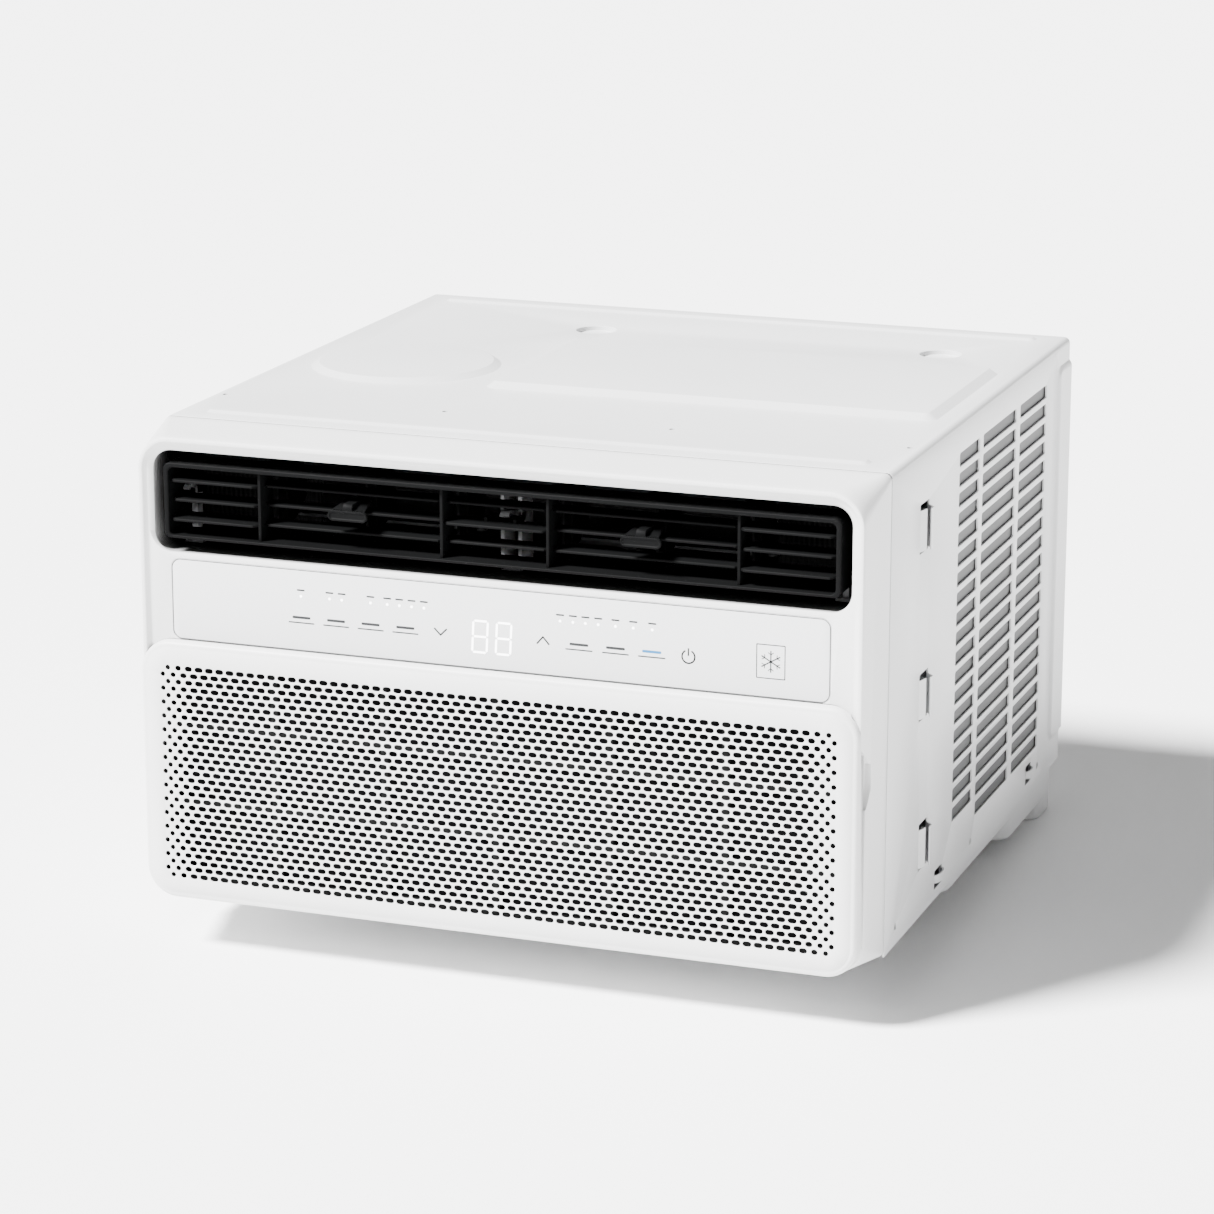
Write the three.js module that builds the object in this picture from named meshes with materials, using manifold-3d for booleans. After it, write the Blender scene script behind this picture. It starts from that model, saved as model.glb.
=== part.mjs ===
// Window air conditioner. Millimetres, +Z up, front towards -Y.
// Everything is drawn from the cabinet datum: x = 0 at the middle, y = 0 at the cabinet's front edge
// and z = 0 at the lower edge of the cabinet's sides. The group moves it to the part's own origin.
import * as THREE from "three";
import { mergeVertices } from "three/addons/utils/BufferGeometryUtils.js";
import Module from "manifold-3d";

const wasm = await Module();
wasm.setup();

// Cabinet
const HALF_WIDTH = 235;
const CABINET_DEPTH = 435;
const CABINET_HEIGHT = 300;
const SHEET = 1.2;
const BEND = 4;
const SLOT_TOP = 279.3;
const SLOT_HEIGHT = 8.6;
const SLOT_PITCH = 12.83;
const SLOT_COLUMNS = [
  { front: 151, rear: 199, rows: 19 },
  { front: 208, rear: 291.5, rows: 20 },
  { front: 301.5, rear: 372, rows: 20 },
];
const HOOKS = [
  { front: 62, bottom: 235.8, top: 266.3 },
  { front: 67.5, bottom: 129, top: 158.7 },
  { front: 73, bottom: 31.4, top: 61.3 },
];
const CLIPS = [
  { front: 112, rear: 130, bottom: 7, top: 19 },
  { front: 342.6, rear: 357, bottom: 7, top: 20 },
];
const PAN_STEPS = [
  { front: 2, bottom: 0 },
  { front: 146, bottom: -8 },
  { front: 301, bottom: -21 },
  { front: 386, bottom: -33 },
];
const PAN_REAR = 424;
const PAN_LOWEST = -33;
const FRONT_FACE = -51;

// Front
const RIM_FRONT = -47;
const FACE_FRONT = -44.5;
const GRILLE_TOP = 169;
const OUTLET = { x: 223.5, bottom: 224.4, top: 288, radius: 12 };
const FILTER = { front: -38.2, rear: -31.8, bottom: 10, top: 165.5 };
const FINGER_NOTCH = [[-38.9, 137.6], [-29.4, 130.6], [-29.4, 115.1], [-36.9, 104.6], [-38.9, 104.6]];
const PANEL_SIDE_TOP = [[-51.6, 147], [-38.8, 137.6]];

// Louvres
const TILT_Y = -19;
const TILT_Z = 257.5;
const FRAME = { x: 217, front: -43, rear: -19, bottom: 233, top: 280.3 };
const DIVIDERS = [-153.8, -34.1, 34.1, 153.8];
const VANES = [-154, -94, -34, 34, 94, 154];
const BLADES = [
  { z: 269, forward: -42.3, back: -36, columns: "FBBBF" },
  { z: 256.5, forward: -40, back: -33.3, columns: "FBFBF" },
  { z: 244.5, forward: -42.3, back: -36, columns: "FBBBF" },
];

// Inside
const SHAFT_X = 40;
const SHAFT_Z = 130;
const COMPRESSOR = { x: -154, y: 194, radius: 55 };

const LOOKS = {
  white: { color: 0xf2f2f0, roughness: 0.45, metalness: 0 },
  coat: { color: 0xe6e7e6, roughness: 0.5, metalness: 0.1 },
  overlay: { color: 0xe4e5e6, roughness: 0.35, metalness: 0 },
  dark: { color: 0x2a2c2f, roughness: 0.5, metalness: 0 },
  duct: { color: 0x151617, roughness: 0.35, metalness: 0 },
  clip: { color: 0xbfc1c2, roughness: 0.5, metalness: 0 },
  mesh: { color: 0x9a9c9d, roughness: 0.7, metalness: 0.2 },
  fins: { color: 0xb9bcbf, roughness: 0.4, metalness: 0.9 },
  copper: { color: 0xb4693c, roughness: 0.35, metalness: 1 },
  steel: { color: 0x8b8f92, roughness: 0.4, metalness: 0.9 },
  black: { color: 0x17181a, roughness: 0.45, metalness: 0.3 },
  rubber: { color: 0x1c1c1c, roughness: 0.9, metalness: 0 },
  foam: { color: 0xdcdcd8, roughness: 0.9, metalness: 0 },
  board: { color: 0x1f5c3a, roughness: 0.5, metalness: 0 },
};

const air = new THREE.Group();
air.name = "window_air_conditioner";
const assembly = new THREE.Group();
assembly.position.set(0, -(CABINET_DEPTH + FRONT_FACE) / 2, -PAN_LOWEST);
air.add(assembly);

// Turns a geometry, or several, into one solid.
function solid(...geometries) {
  const made = geometries.map((geometry) => {
    const bare = geometry.clone();
    bare.deleteAttribute("normal");
    bare.deleteAttribute("uv");
    const merged = mergeVertices(bare, 1e-4);
    return new wasm.Manifold(
      new wasm.Mesh({
        numProp: 3,
        vertProperties: merged.attributes.position.array,
        triVerts: new Uint32Array(merged.index.array),
      }),
    );
  });
  return made.reduce((sum, next) => sum.add(next));
}

function geometryOf(body) {
  const mesh = body.getMesh();
  const geometry = new THREE.BufferGeometry();
  geometry.setAttribute("position", new THREE.BufferAttribute(mesh.vertProperties, 3));
  geometry.setIndex(new THREE.BufferAttribute(mesh.triVerts, 1));
  geometry.computeVertexNormals();
  return geometry;
}

function place(name, body, look) {
  const geometry = body.isBufferGeometry ? body : geometryOf(body);
  const material = new THREE.MeshStandardMaterial({ ...LOOKS[look], flatShading: true });
  const mesh = new THREE.Mesh(geometry, material);
  mesh.name = name;
  assembly.add(mesh);
}

function box(x0, x1, y0, y1, z0, z1) {
  const geometry = new THREE.BoxGeometry(x1 - x0, y1 - y0, z1 - z0);
  return geometry.translate((x0 + x1) / 2, (y0 + y1) / 2, (z0 + z1) / 2);
}

function shapeOf(points, holes = []) {
  const shape = new THREE.Shape(points.map(([u, v]) => new THREE.Vector2(u, v)));
  shape.holes = holes.map(
    (hole) => new THREE.Path(hole.map(([u, v]) => new THREE.Vector2(u, v))),
  );
  return shape;
}

function extrude(points, depth, holes) {
  return new THREE.ExtrudeGeometry(shapeOf(points, holes), { depth, bevelEnabled: false });
}

// Outline in (y, z), drawn out along x.
function alongX(points, x0, x1, holes) {
  const turn = new THREE.Matrix4().makeBasis(
    new THREE.Vector3(0, 1, 0),
    new THREE.Vector3(0, 0, 1),
    new THREE.Vector3(1, 0, 0),
  );
  return extrude(points, x1 - x0, holes).applyMatrix4(turn).translate(x0, 0, 0);
}

// Outline in (x, z), drawn out along y.
function alongY(points, y0, y1, holes) {
  return extrude(points, y1 - y0, holes).rotateX(Math.PI / 2).translate(0, y1, 0);
}

// Outline in (x, y), drawn out along z.
function alongZ(points, z0, z1, holes) {
  return extrude(points, z1 - z0, holes).translate(0, 0, z0);
}

function circle(u, v, radius, count = 24) {
  const points = [];
  for (let i = 0; i < count; i++) {
    const angle = (2 * Math.PI * i) / count;
    points.push([u + radius * Math.cos(angle), v + radius * Math.sin(angle)]);
  }
  return points;
}

function rounded(u0, u1, v0, v1, radius, count = 4) {
  const corners = [
    [u1 - radius, v0 + radius, -90],
    [u1 - radius, v1 - radius, 0],
    [u0 + radius, v1 - radius, 90],
    [u0 + radius, v0 + radius, 180],
  ];
  const points = [];
  for (const [u, v, start] of corners) {
    for (let i = 0; i <= count; i++) {
      const angle = ((start + (90 * i) / count) * Math.PI) / 180;
      points.push([u + radius * Math.cos(angle), v + radius * Math.sin(angle)]);
    }
  }
  return points;
}

function rectangle(u0, u1, v0, v1) {
  return [[u0, v0], [u1, v0], [u1, v1], [u0, v1]];
}

// Skin through outlines of equal point count, closed at both ends. Outlines hold [x, y, z].
function loft(outlines) {
  const count = outlines[0].length;
  const positions = outlines.flat().flat();
  const index = [];
  for (let k = 0; k + 1 < outlines.length; k++) {
    for (let i = 0; i < count; i++) {
      const a = k * count + i;
      const b = k * count + ((i + 1) % count);
      index.push(a, b, a + count, b, b + count, a + count);
    }
  }
  for (let i = 1; i + 1 < count; i++) {
    const last = (outlines.length - 1) * count;
    index.push(0, i + 1, i);
    index.push(last, last + i, last + i + 1);
  }
  const geometry = new THREE.BufferGeometry();
  geometry.setAttribute("position", new THREE.Float32BufferAttribute(positions, 3));
  geometry.setIndex(index);
  return geometry;
}

function tube(points, radius, steps, sides = 8) {
  const curve = new THREE.CatmullRomCurve3(
    points.map(([x, y, z]) => new THREE.Vector3(x, y, z)),
    false,
    "catmullrom",
    0.2,
  );
  return new THREE.ExtrudeGeometry(shapeOf(circle(0, 0, radius, sides)), {
    steps,
    bevelEnabled: false,
    extrudePath: curve,
  });
}

// Turned body about a vertical axis. The profile runs from the axis to the axis, bottom first.
function turned(profile, x, y, count) {
  const points = profile.map(([radius, z]) => new THREE.Vector2(radius, z));
  return new THREE.LatheGeometry(points, count).rotateX(Math.PI / 2).translate(x, y, 0);
}

// ---- Cabinet: one wrapped sheet with a top and two sides ----

function cabinetSection(inset, lift) {
  const x = HALF_WIDTH - inset;
  const top = CABINET_HEIGHT - inset;
  const radius = BEND - inset;
  const right = [];
  const left = [];
  for (let i = 0; i <= 3; i++) {
    const angle = (Math.PI / 6) * i;
    right.push([x - radius + radius * Math.cos(angle), top - radius + radius * Math.sin(angle)]);
    left.push([-x + radius - radius * Math.sin(angle), top - radius + radius * Math.cos(angle)]);
  }
  return [[x, lift], ...right, ...left, [-x, lift]];
}

// A pressed frustum: outer outline at the base, inner outline on its flat top.
function pressing(outer, inner, base, height) {
  return solid(
    loft([outer.map(([x, y]) => [x, y, base]), inner.map(([x, y]) => [x, y, base + height])]),
  );
}

function makeCabinet() {
  const outside = cabinetSection(0, 0);
  const inside = cabinetSection(SHEET, 0).reverse();
  let shell = solid(alongY([...outside, ...inside], 0, CABINET_DEPTH));

  const top = CABINET_HEIGHT;
  const embosses = [
    [circle(-154, 194, 63, 32), circle(-154, 194, 57, 32), 3.3],
    [rounded(-80, 221, 142, 303, 9, 3), rounded(-73.5, 214.5, 148.5, 296.5, 2.5, 3), 4],
    [rectangle(-216, 216, 14, 27), rectangle(-212.5, 212.5, 17.5, 23.5), 1.5],
    [rectangle(-216, 216, 411, 424), rectangle(-212.5, 212.5, 414.5, 420.5), 1.5],
  ];
  for (const [outer, inner, height] of embosses) {
    shell = shell.add(pressing(outer, inner, top - 0.01, height));
  }
  for (const [outer, inner, height] of embosses) {
    shell = shell.subtract(pressing(outer, inner, top - SHEET - 0.01, height));
  }
  for (const [x, y] of [[-77.5, 349], [167.4, 348.5]]) {
    shell = shell.add(solid(alongZ(circle(x, y, 15.5, 16), top - 4.5, top - 1)));
    shell = shell.subtract(solid(alongZ(circle(x, y, 14.3, 16), top - 3.3, top + 1)));
  }
  for (const x of [-226, -75, 75, 226]) {
    shell = shell.subtract(solid(alongZ(circle(x, 67.7, 2, 8), top - 5, top + 2)));
  }

  // The rear edge of each side is joggled outwards.
  for (const side of [-1, 1]) {
    const out = side * HALF_WIDTH;
    const band = (a, b, y0, y1, z0, z1) =>
      solid(box(Math.min(a, b), Math.max(a, b), y0, y1, z0, z1));
    shell = shell.add(band(out - side, out + side * 1.8, 404, CABINET_DEPTH, 21, 284.5));
    shell = shell.subtract(
      band(out - side * 2, out + side * 0.6, 405.5, CABINET_DEPTH + 1, 22.5, 283),
    );
  }

  const cuts = [];
  for (const { front, rear, rows } of SLOT_COLUMNS) {
    for (let row = 0; row < rows; row++) {
      const z = SLOT_TOP - row * SLOT_PITCH;
      cuts.push(box(-240, 240, front, rear, z - SLOT_HEIGHT, z));
    }
  }
  for (const { front, bottom, top: high } of HOOKS) {
    cuts.push(box(-240, 240, front, front + 19.5, bottom, high));
  }
  for (const { front, rear, bottom, top: high } of CLIPS) {
    cuts.push(box(-240, 240, front, rear, bottom, high));
  }
  for (const y of [24, 199, 375]) {
    cuts.push(alongX(circle(y, 12, 2.25, 8), -240, 240));
  }
  shell = shell.subtract(solid(...cuts));

  // Lanced hooks, each a ramp with a lip over its rear end, and the small bridge clips.
  for (const side of [-1, 1]) {
    const mirror = (points) => {
      const placed = points.map(([x, y]) => [side * (HALF_WIDTH + x), y]);
      return side > 0 ? placed : placed.reverse();
    };
    for (const { front, bottom, top: high } of HOOKS) {
      const ramp = [
        [-1.2, front - 1], [0, front - 1], [0, front + 1.2], [2.6, front + 8.6],
        [2.6, front + 9.6], [1.2, front + 9.6], [-1.2, front + 1.6],
      ];
      const lip = [
        [3.2, front + 11], [4.2, front + 11], [4.2, front + 15], [0, front + 20.5],
        [-1.2, front + 20.5], [-1.2, front + 19.3], [3.2, front + 14.6],
      ];
      for (const section of [ramp, lip]) {
        shell = shell.add(solid(alongZ(mirror(section), bottom + 1.2, high - 3.6)));
      }
    }
    for (const { front, rear, bottom, top: high } of CLIPS) {
      const bridge = [
        [-1.2, front - 1], [0, front - 1], [2.7, front + 4], [2.7, rear - 4], [0, rear + 1],
        [-1.2, rear + 1], [-1.2, rear - 0.4], [1.6, rear - 4.6], [1.6, front + 4.6],
        [-1.2, front + 0.4],
      ];
      shell = shell.add(solid(alongZ(mirror(bridge), bottom + 3, high - 3)));
    }
  }
  place("cabinet_shell", shell, "coat");
}

// ---- Base pan, rear guard and side screens ----

function panLevel(front, inset, bottom, top) {
  const x = 233.2 - inset;
  const radius = 12 - inset;
  const points = [[x, PAN_REAR - inset], [-x, PAN_REAR - inset]];
  for (let i = 0; i <= 3; i++) {
    const angle = Math.PI + (Math.PI / 6) * i;
    points.push([-x + radius + radius * Math.cos(angle), front + 12 + radius * Math.sin(angle)]);
  }
  for (let i = 0; i <= 3; i++) {
    const angle = 1.5 * Math.PI + (Math.PI / 6) * i;
    points.push([x - radius + radius * Math.cos(angle), front + 12 + radius * Math.sin(angle)]);
  }
  return alongZ(points, bottom, top);
}

function makePan() {
  const wall = 1.5;
  const outer = PAN_STEPS.map(({ front, bottom }) => panLevel(front, 0, bottom, 24));
  const inner = PAN_STEPS.map(({ front, bottom }) => panLevel(front, wall, bottom + wall, 30));
  const drain = solid(alongZ(circle(150, 345, 5, 12), -25, -15));
  place("base_pan", solid(...outer).subtract(solid(...inner)).subtract(drain), "coat");

  const windows = [];
  for (let column = 0; column < 5; column++) {
    for (let row = 0; row < 7; row++) {
      const x = -217 + column * 87.6;
      const z = 14 + row * 39;
      windows.push(box(x, x + 83.6, 425, 430, z, z + 35));
    }
  }
  const guard = solid(box(-232.5, 232.5, 427, 428.6, 2, 297));
  place("rear_guard", guard.subtract(solid(...windows)), "coat");

  place("side_screen_right", box(232.2, 233.2, 148, 376, 25, 284), "mesh");
  place("side_screen_left", box(-233.2, -232.2, 148, 376, 25, 284), "mesh");

  const plug = [[0, -24.5], [9, -24.5], [10, -23], [10, -21.4], [4.5, -21.4], [4.5, -18], [0, -18]];
  place("drain_plug", turned(plug, 150, 345, 16), "rubber");
}

// ---- Front bezel, grille, control overlay and filter ----

function bezelOutline(y, inset) {
  const t = Math.min(Math.max(-y / 47, 0), 1);
  const x = HALF_WIDTH - 2.8 * t - inset;
  const low = 0.3 + 1.5 * t + inset;
  const high = CABINET_HEIGHT - 3 * t - inset;
  const radius = Math.max(4 + 17 * t - inset, 1.5);
  return rounded(-x, x, low, high, radius, 5).map(([u, v]) => [u, y, v]);
}

function bezelBody(inset, rear, front) {
  const stops = [rear, rear * 0.5 + front * 0.5, front];
  return solid(loft(stops.map((y) => bezelOutline(y, inset))));
}

function makeBezel() {
  let bezel = bezelBody(0, -0.3, RIM_FRONT);
  bezel = bezel.subtract(bezelBody(2.5, 1, -42));
  // Recessed face inside a 3 mm rim, with a short bevel between them.
  const bevel = [
    rounded(-229.3, 229.3, 150, 294, 18, 5).map(([u, v]) => [u, RIM_FRONT - 1, v]),
    rounded(-229.3, 229.3, 150, 294, 18, 5).map(([u, v]) => [u, RIM_FRONT, v]),
    rounded(-226.8, 226.8, 152.5, 291.5, 15.5, 5).map(([u, v]) => [u, FACE_FRONT, v]),
  ];
  bezel = bezel.subtract(solid(loft(bevel.reverse())));
  // The outlet flares towards the front at its top and ends.
  const opening = (y, flare) =>
    rounded(-OUTLET.x - flare, OUTLET.x + flare, OUTLET.bottom, OUTLET.top + flare,
      OUTLET.radius + flare, 5).map(([u, v]) => [u, y, v]);
  bezel = bezel.subtract(solid(loft([opening(-30, 0), opening(-42, 0), opening(-60, 19.8)])));
  // The hinged panel's place: all of the width below a slanted line, and the panel's outline above it.
  const [upper, lower] = PANEL_SIDE_TOP;
  const sidePlace = [[-60, -5], [-37.6, -5], [-37.6, 6], [-38.8, 6], lower, upper, [-60, upper[1]]];
  bezel = bezel.subtract(
    solid(
      alongX(sidePlace, -240, 240),
      alongY(rounded(-232.6, 232.6, 1, GRILLE_TOP + 0.4, 20, 5), -60, -47),
      alongY(rounded(-229.4, 229.4, -10, GRILLE_TOP + 0.4, 17.5, 5), -60, -38.8),
    ),
  );
  bezel = bezel.subtract(solid(alongY(rounded(-212.3, 212.3, 169.2, 221, 6, 3), -46, -43.7)));

  // Web under the control area, and a finger notch in each side to pull the panel open.
  bezel = bezel.add(
    solid(
      box(-231, 231, -43, -26, 169.4, 171.6),
      box(-233, -226, -38.8, -26, 100, 142),
      box(226, 233, -38.8, -26, 100, 142),
    ),
  );
  bezel = bezel.subtract(solid(alongX(FINGER_NOTCH, 228.5, 240), alongX(FINGER_NOTCH, -240, -228.5)));
  // Cord outlet in the underside.
  bezel = bezel.subtract(solid(alongZ(circle(196, -18, 7, 16), -3, 6)));
  place("front_bezel", bezel, "white");

  const gland = [[0, -3], [8.5, -3], [9.5, -2], [9.5, -0.3], [6.6, -0.3], [6.6, 8], [0, 8]];
  place("cord_gland", turned(gland, 196, -18, 16), "rubber");
}

function makeGrille() {
  const outer = (inset, y) =>
    rounded(-232.2 + inset, 232.2 - inset, 1.8 + inset, GRILLE_TOP - inset, 20 - inset, 5).map(
      ([u, v]) => [u, y, v],
    );
  let grille = solid(loft([outer(0, -39.1), outer(0, -48.6), outer(2.4, FRONT_FACE)]));
  grille = grille.subtract(solid(loft([outer(2.4, -38), outer(2.4, -48.6)])));
  // Above the slanted line the bezel passes outside the panel, whose side flange steps in.
  const above = solid(alongX([[-47.4, 143.5], [-36, 135], [-36, 180], [-47.4, 180]], -240, 240));
  const kept = solid(alongY(rounded(-229, 229, -20, GRILLE_TOP, 17.3, 5), -60, -30));
  grille = grille.subtract(above.subtract(kept));
  const windows = [];
  for (let column = 0; column < 10; column++) {
    for (let row = 0; row < 5; row++) {
      const x = -218 + column * 43.8;
      const z = 15.5 + row * 27.8;
      windows.push(box(x, x + 41.8, FRONT_FACE - 1, -47, z, z + 25.8));
    }
  }
  place("front_grille", grille.subtract(solid(...windows)), "white");

  place("control_overlay", alongY(rounded(-212, 212, 169.5, 220.7, 6, 3), -44.8, -44), "overlay");
  place("display_board", box(-140, 140, -40.6, -38.6, 176, 214), "board");
}

function makeFilter() {
  const { front, rear, bottom, top } = FILTER;
  const windows = [];
  for (let column = 0; column < 6; column++) {
    for (let row = 0; row < 3; row++) {
      const x = -219 + column * 73.4;
      const z = bottom + 5 + row * 48.8;
      windows.push(box(x, x + 69, front - 1, rear, z, z + 46));
    }
  }
  const frame = solid(box(-224, 224, front, rear - 2.2, bottom, top));
  place("filter_frame", frame.subtract(solid(...windows)), "clip");
  place("filter_mesh", box(-223, 223, rear - 1.9, rear - 0.9, bottom + 1, top - 1), "mesh");
}

// ---- Outlet duct, tilting louvre frame and vanes ----

function makeDuct() {
  const ring = rounded(-226.5, 226.5, 221.4, 291.2, 10, 3);
  const bore = rounded(-225, 225, 222.9, 289.7, 8.5, 3).reverse();
  const tunnel = solid(alongY(ring, -41.6, 34, [bore]));
  const mouth = rounded(-145, 155, 226, 286.5, 3, 2).reverse();
  place("outlet_duct", tunnel.add(solid(alongY(ring, 32.8, 34.3, [mouth]))), "duct");
}

function clipRing(x0, x1) {
  const ring = solid(alongX(circle(TILT_Y, TILT_Z, 5, 20), x0, x1));
  const bore = solid(
    alongX(circle(TILT_Y, TILT_Z, 2.5, 16), x0 - 1, x1 + 1),
    box(x0 - 1, x1 + 1, TILT_Y - 8, TILT_Y, TILT_Z - 1.8, TILT_Z + 1.8),
  );
  const web = solid(box(x0, x1, TILT_Y + 3.5, -4, TILT_Z - 3.5, TILT_Z + 3.5));
  return ring.add(web).subtract(bore);
}

function makeBrackets() {
  for (const [name, x] of [["pivot_bracket_left", -211], ["pivot_bracket_right", 211]]) {
    const post = solid(
      box(x - 2, x + 2, -12, -4, 223.2, TILT_Z + 3.5),
      box(x - 6, x + 6, -14, 6, 223.2, 225.5),
    );
    place(name, clipRing(x - 2, x + 2).add(post), "clip");
  }
  const double = solid(
    box(-7, -4.4, -12, 7, 223.2, 272),
    box(4.4, 7, -12, 7, 223.2, 272),
    box(-7, 7, -12, 7, 223.2, 225.5),
    box(-7, 7, -12, -4, TILT_Z - 3.5, TILT_Z + 3.5),
  );
  place("pivot_bracket_centre", clipRing(-3, 3).add(double), "clip");
}

function makeLouvreFrame() {
  const { x, front, rear, bottom, top } = FRAME;
  const inner = rounded(-213.8, 213.8, 234.8, 277.5, 3, 2).reverse();
  let frame = solid(alongY(rounded(-x, x, bottom, top, 4, 3), front, rear, [inner]));
  for (const divider of DIVIDERS) {
    frame = frame.add(solid(box(divider - 0.9, divider + 0.9, -40, -21, 234, 278)));
  }
  const edges = [-214.5, ...DIVIDERS, 214.5];
  for (const { z, forward, back, columns } of BLADES) {
    const segments = [...columns].map((kind, i) =>
      box(edges[i], edges[i + 1], kind === "F" ? forward : back, -21, z - 0.8, z + 0.8),
    );
    frame = frame.add(solid(...segments));
  }
  // Room for the three clips, and the ears that carry their pins.
  frame = frame.subtract(solid(box(-8.5, 8.5, -26, -15, 254, 261)));
  frame = frame.add(
    solid(
      box(-10.5, -8.3, -30, -16.5, 255, 260),
      box(8.3, 10.5, -30, -16.5, 255, 260),
      alongX(circle(TILT_Y, TILT_Z, 2.2, 10), -9, 9),
    ),
  );
  for (const side of [-1, 1]) {
    const gap = [side * 207, side * 213.9].sort((a, b) => a - b);
    frame = frame.subtract(solid(box(gap[0], gap[1], -27, -15, 250, 264)));
    const pin = [side * 207.5, side * 215].sort((a, b) => a - b);
    const ear = [side * 213.8, side * 216.6].sort((a, b) => a - b);
    frame = frame.add(
      solid(
        alongX(circle(TILT_Y, TILT_Z, 2.2, 12), pin[0], pin[1]),
        box(ear[0], ear[1], -22, -15.5, 253.5, 261.5),
      ),
    );
  }
  // Arms that hold each vane's pins.
  for (const vane of VANES) {
    const hole = circle(vane, 0, 1.8, 8).reverse();
    const arm = (end) => rectangle(vane - 4, vane + 4, -20, end);
    frame = frame.add(solid(alongZ(arm(4), 232.9, 234.6, [hole])));
    frame = frame.add(solid(alongZ(arm(4), 278, 280, [hole])));
  }
  place("louver_frame", frame, "dark");
}

function makeVanes() {
  const outline = [
    [-13, 236], [8, 236.4], [20, 241.8], [27, 246], [30, 250],
    [30, 266], [24, 271.5], [8, 276.5], [-13, 276.5],
  ];
  VANES.forEach((x, i) => {
    const vane = solid(
      alongX(outline, x - 0.8, x + 0.8),
      alongZ(circle(x, 0, 1.5, 8), 232.4, 280.4),
      alongZ(circle(x, 22, 1.2, 6), 237.5, 245),
      alongZ(circle(x, 0, 3, 8), 235, 237.2),
    );
    place("vane_" + (i + 1), vane, "dark");
  });
  for (const [name, middle] of [["left", -94], ["right", 94]]) {
    const holes = [-60, 0, 60].map((step) => circle(middle + step, 22, 1.5, 8).reverse());
    const bar = rounded(middle - 65, middle + 65, 18.5, 25.5, 3, 2);
    place("vane_link_" + name, alongZ(bar, 238.2, 240, holes), "clip");

    const pill = solid(alongY(rounded(middle - 13, middle + 13, 253, 259.6, 3.2, 4), -44, -41.6));
    const neck = [
      [-43.4, 256], [-41.6, 256], [-40.6, 260.7], [-8, 260.7],
      [-8, 263.7], [-41.4, 263.7], [-43.4, 260.5],
    ];
    const slab = [
      [-41.8, 258.4], [-26, 261], [-22, 261.2], [-22, 263.4], [-26, 263.4], [-41.8, 259.6],
    ];
    const fork = solid(box(middle - 1.1, middle + 1.1, -13.8, 0, 255, 270));
    const shank = solid(
      alongX(neck, middle - 3, middle + 3),
      alongX(slab, middle - 11, middle + 11),
    );
    const tab = pill.add(shank).subtract(fork);
    place("thumb_tab_" + name, tab, "dark");
  }
}

// ---- Cooling circuit ----

function makeEvaporator() {
  place("evaporator_core", box(-205, 205, 5, 33, 6, 206), "fins");
  for (const [name, x] of [["evaporator_end_left", -207], ["evaporator_end_right", 205.4]]) {
    place(name, box(x, x + 1.6, 4.2, 33.6, 4, 208), "steel");
  }
  const bends = [];
  for (let i = 0; i < 6; i++) {
    const z = 20 + i * 31;
    const bend = [
      [-208, 12, z], [-214, 12, z + 1], [-216, 12, z + 9], [-214, 12, z + 17], [-208, 12, z + 18],
    ];
    bends.push(tube(bend, 3.5, 6, 6));
  }
  bends.push(box(-208.8, -207.4, 7, 17, 14, 202));
  place("evaporator_bends", solid(...bends), "copper");

  place("condenser_core", box(-222, 222, 368, 410, 8, 286), "fins");
  place("condenser_end_left", box(-224, -222.4, 366, 412, 6, 288), "steel");
  place("condenser_end_right", box(222.4, 224, 366, 412, 6, 288), "steel");
}

function makeCompressor() {
  const { x, y, radius: r } = COMPRESSOR;
  const profile = [
    [0, 30], [r - 14, 30], [r - 4, 34], [r, 42], [r, 235],
    [r - 3, 250], [r - 14, 262], [r - 32, 268], [0, 269],
  ];
  const plate = alongZ(circle(x, y, 62, 3), 24, 30.5);
  const can = solid(turned(profile, x, y, 32), plate);
  place("compressor", can, "black");
  circle(x, y, 48, 3).forEach(([u, v], i) => {
    const grommet = [[0, 2], [9, 2], [7, 9], [7, 17], [9, 23.6], [0, 23.6]];
    place("compressor_grommet_" + (i + 1), turned(grommet, u, v, 12), "rubber");
  });
  const cap = [[0, 269.4], [17, 269.4], [17, 281], [14, 284], [0, 284]];
  place("terminal_cover", turned(cap, x, y, 16), "black");

  const tank = [[0, 64], [9, 66], [19, 76], [19, 190], [9, 202], [0, 204]];
  place("accumulator", turned(tank, x + 77, y - 18, 20), "black");

  const suction = [
    [x + 77, y - 18, 205], [x + 77, y - 19, 214], [x + 75, y - 26, 224], [x + 64, 140, 234],
    [x + 34, 128, 236], [-170, 127, 236], [-187, 112, 234], [-192, 60, 226], [-212, 38, 200],
    [-213, 27, 170],
  ];
  place("suction_tube", tube(suction, 4.8, 20, 6), "copper");
  const discharge = [
    [x + 20, y + 18, 269.4], [x + 20, y + 24, 281], [x + 4, y + 70, 282], [-190, 300, 280],
    [-222, 335, 276], [-228.2, 355, 268], [-228.2, 385, 250],
  ];
  place("discharge_tube", tube(discharge, 3.4, 18, 6), "copper");
  const capillary = [
    [-228, 392, 40], [-228, 350, 36], [-226, 300, 40], [-226, 240, 44], [-226, 150, 44],
    [-224, 112, 50], [-217, 60, 46], [-214, 40, 40], [-213, 28, 34],
  ];
  place("capillary_tube", tube(capillary, 1.6, 20, 5), "copper");
}

// ---- Air movers ----

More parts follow.
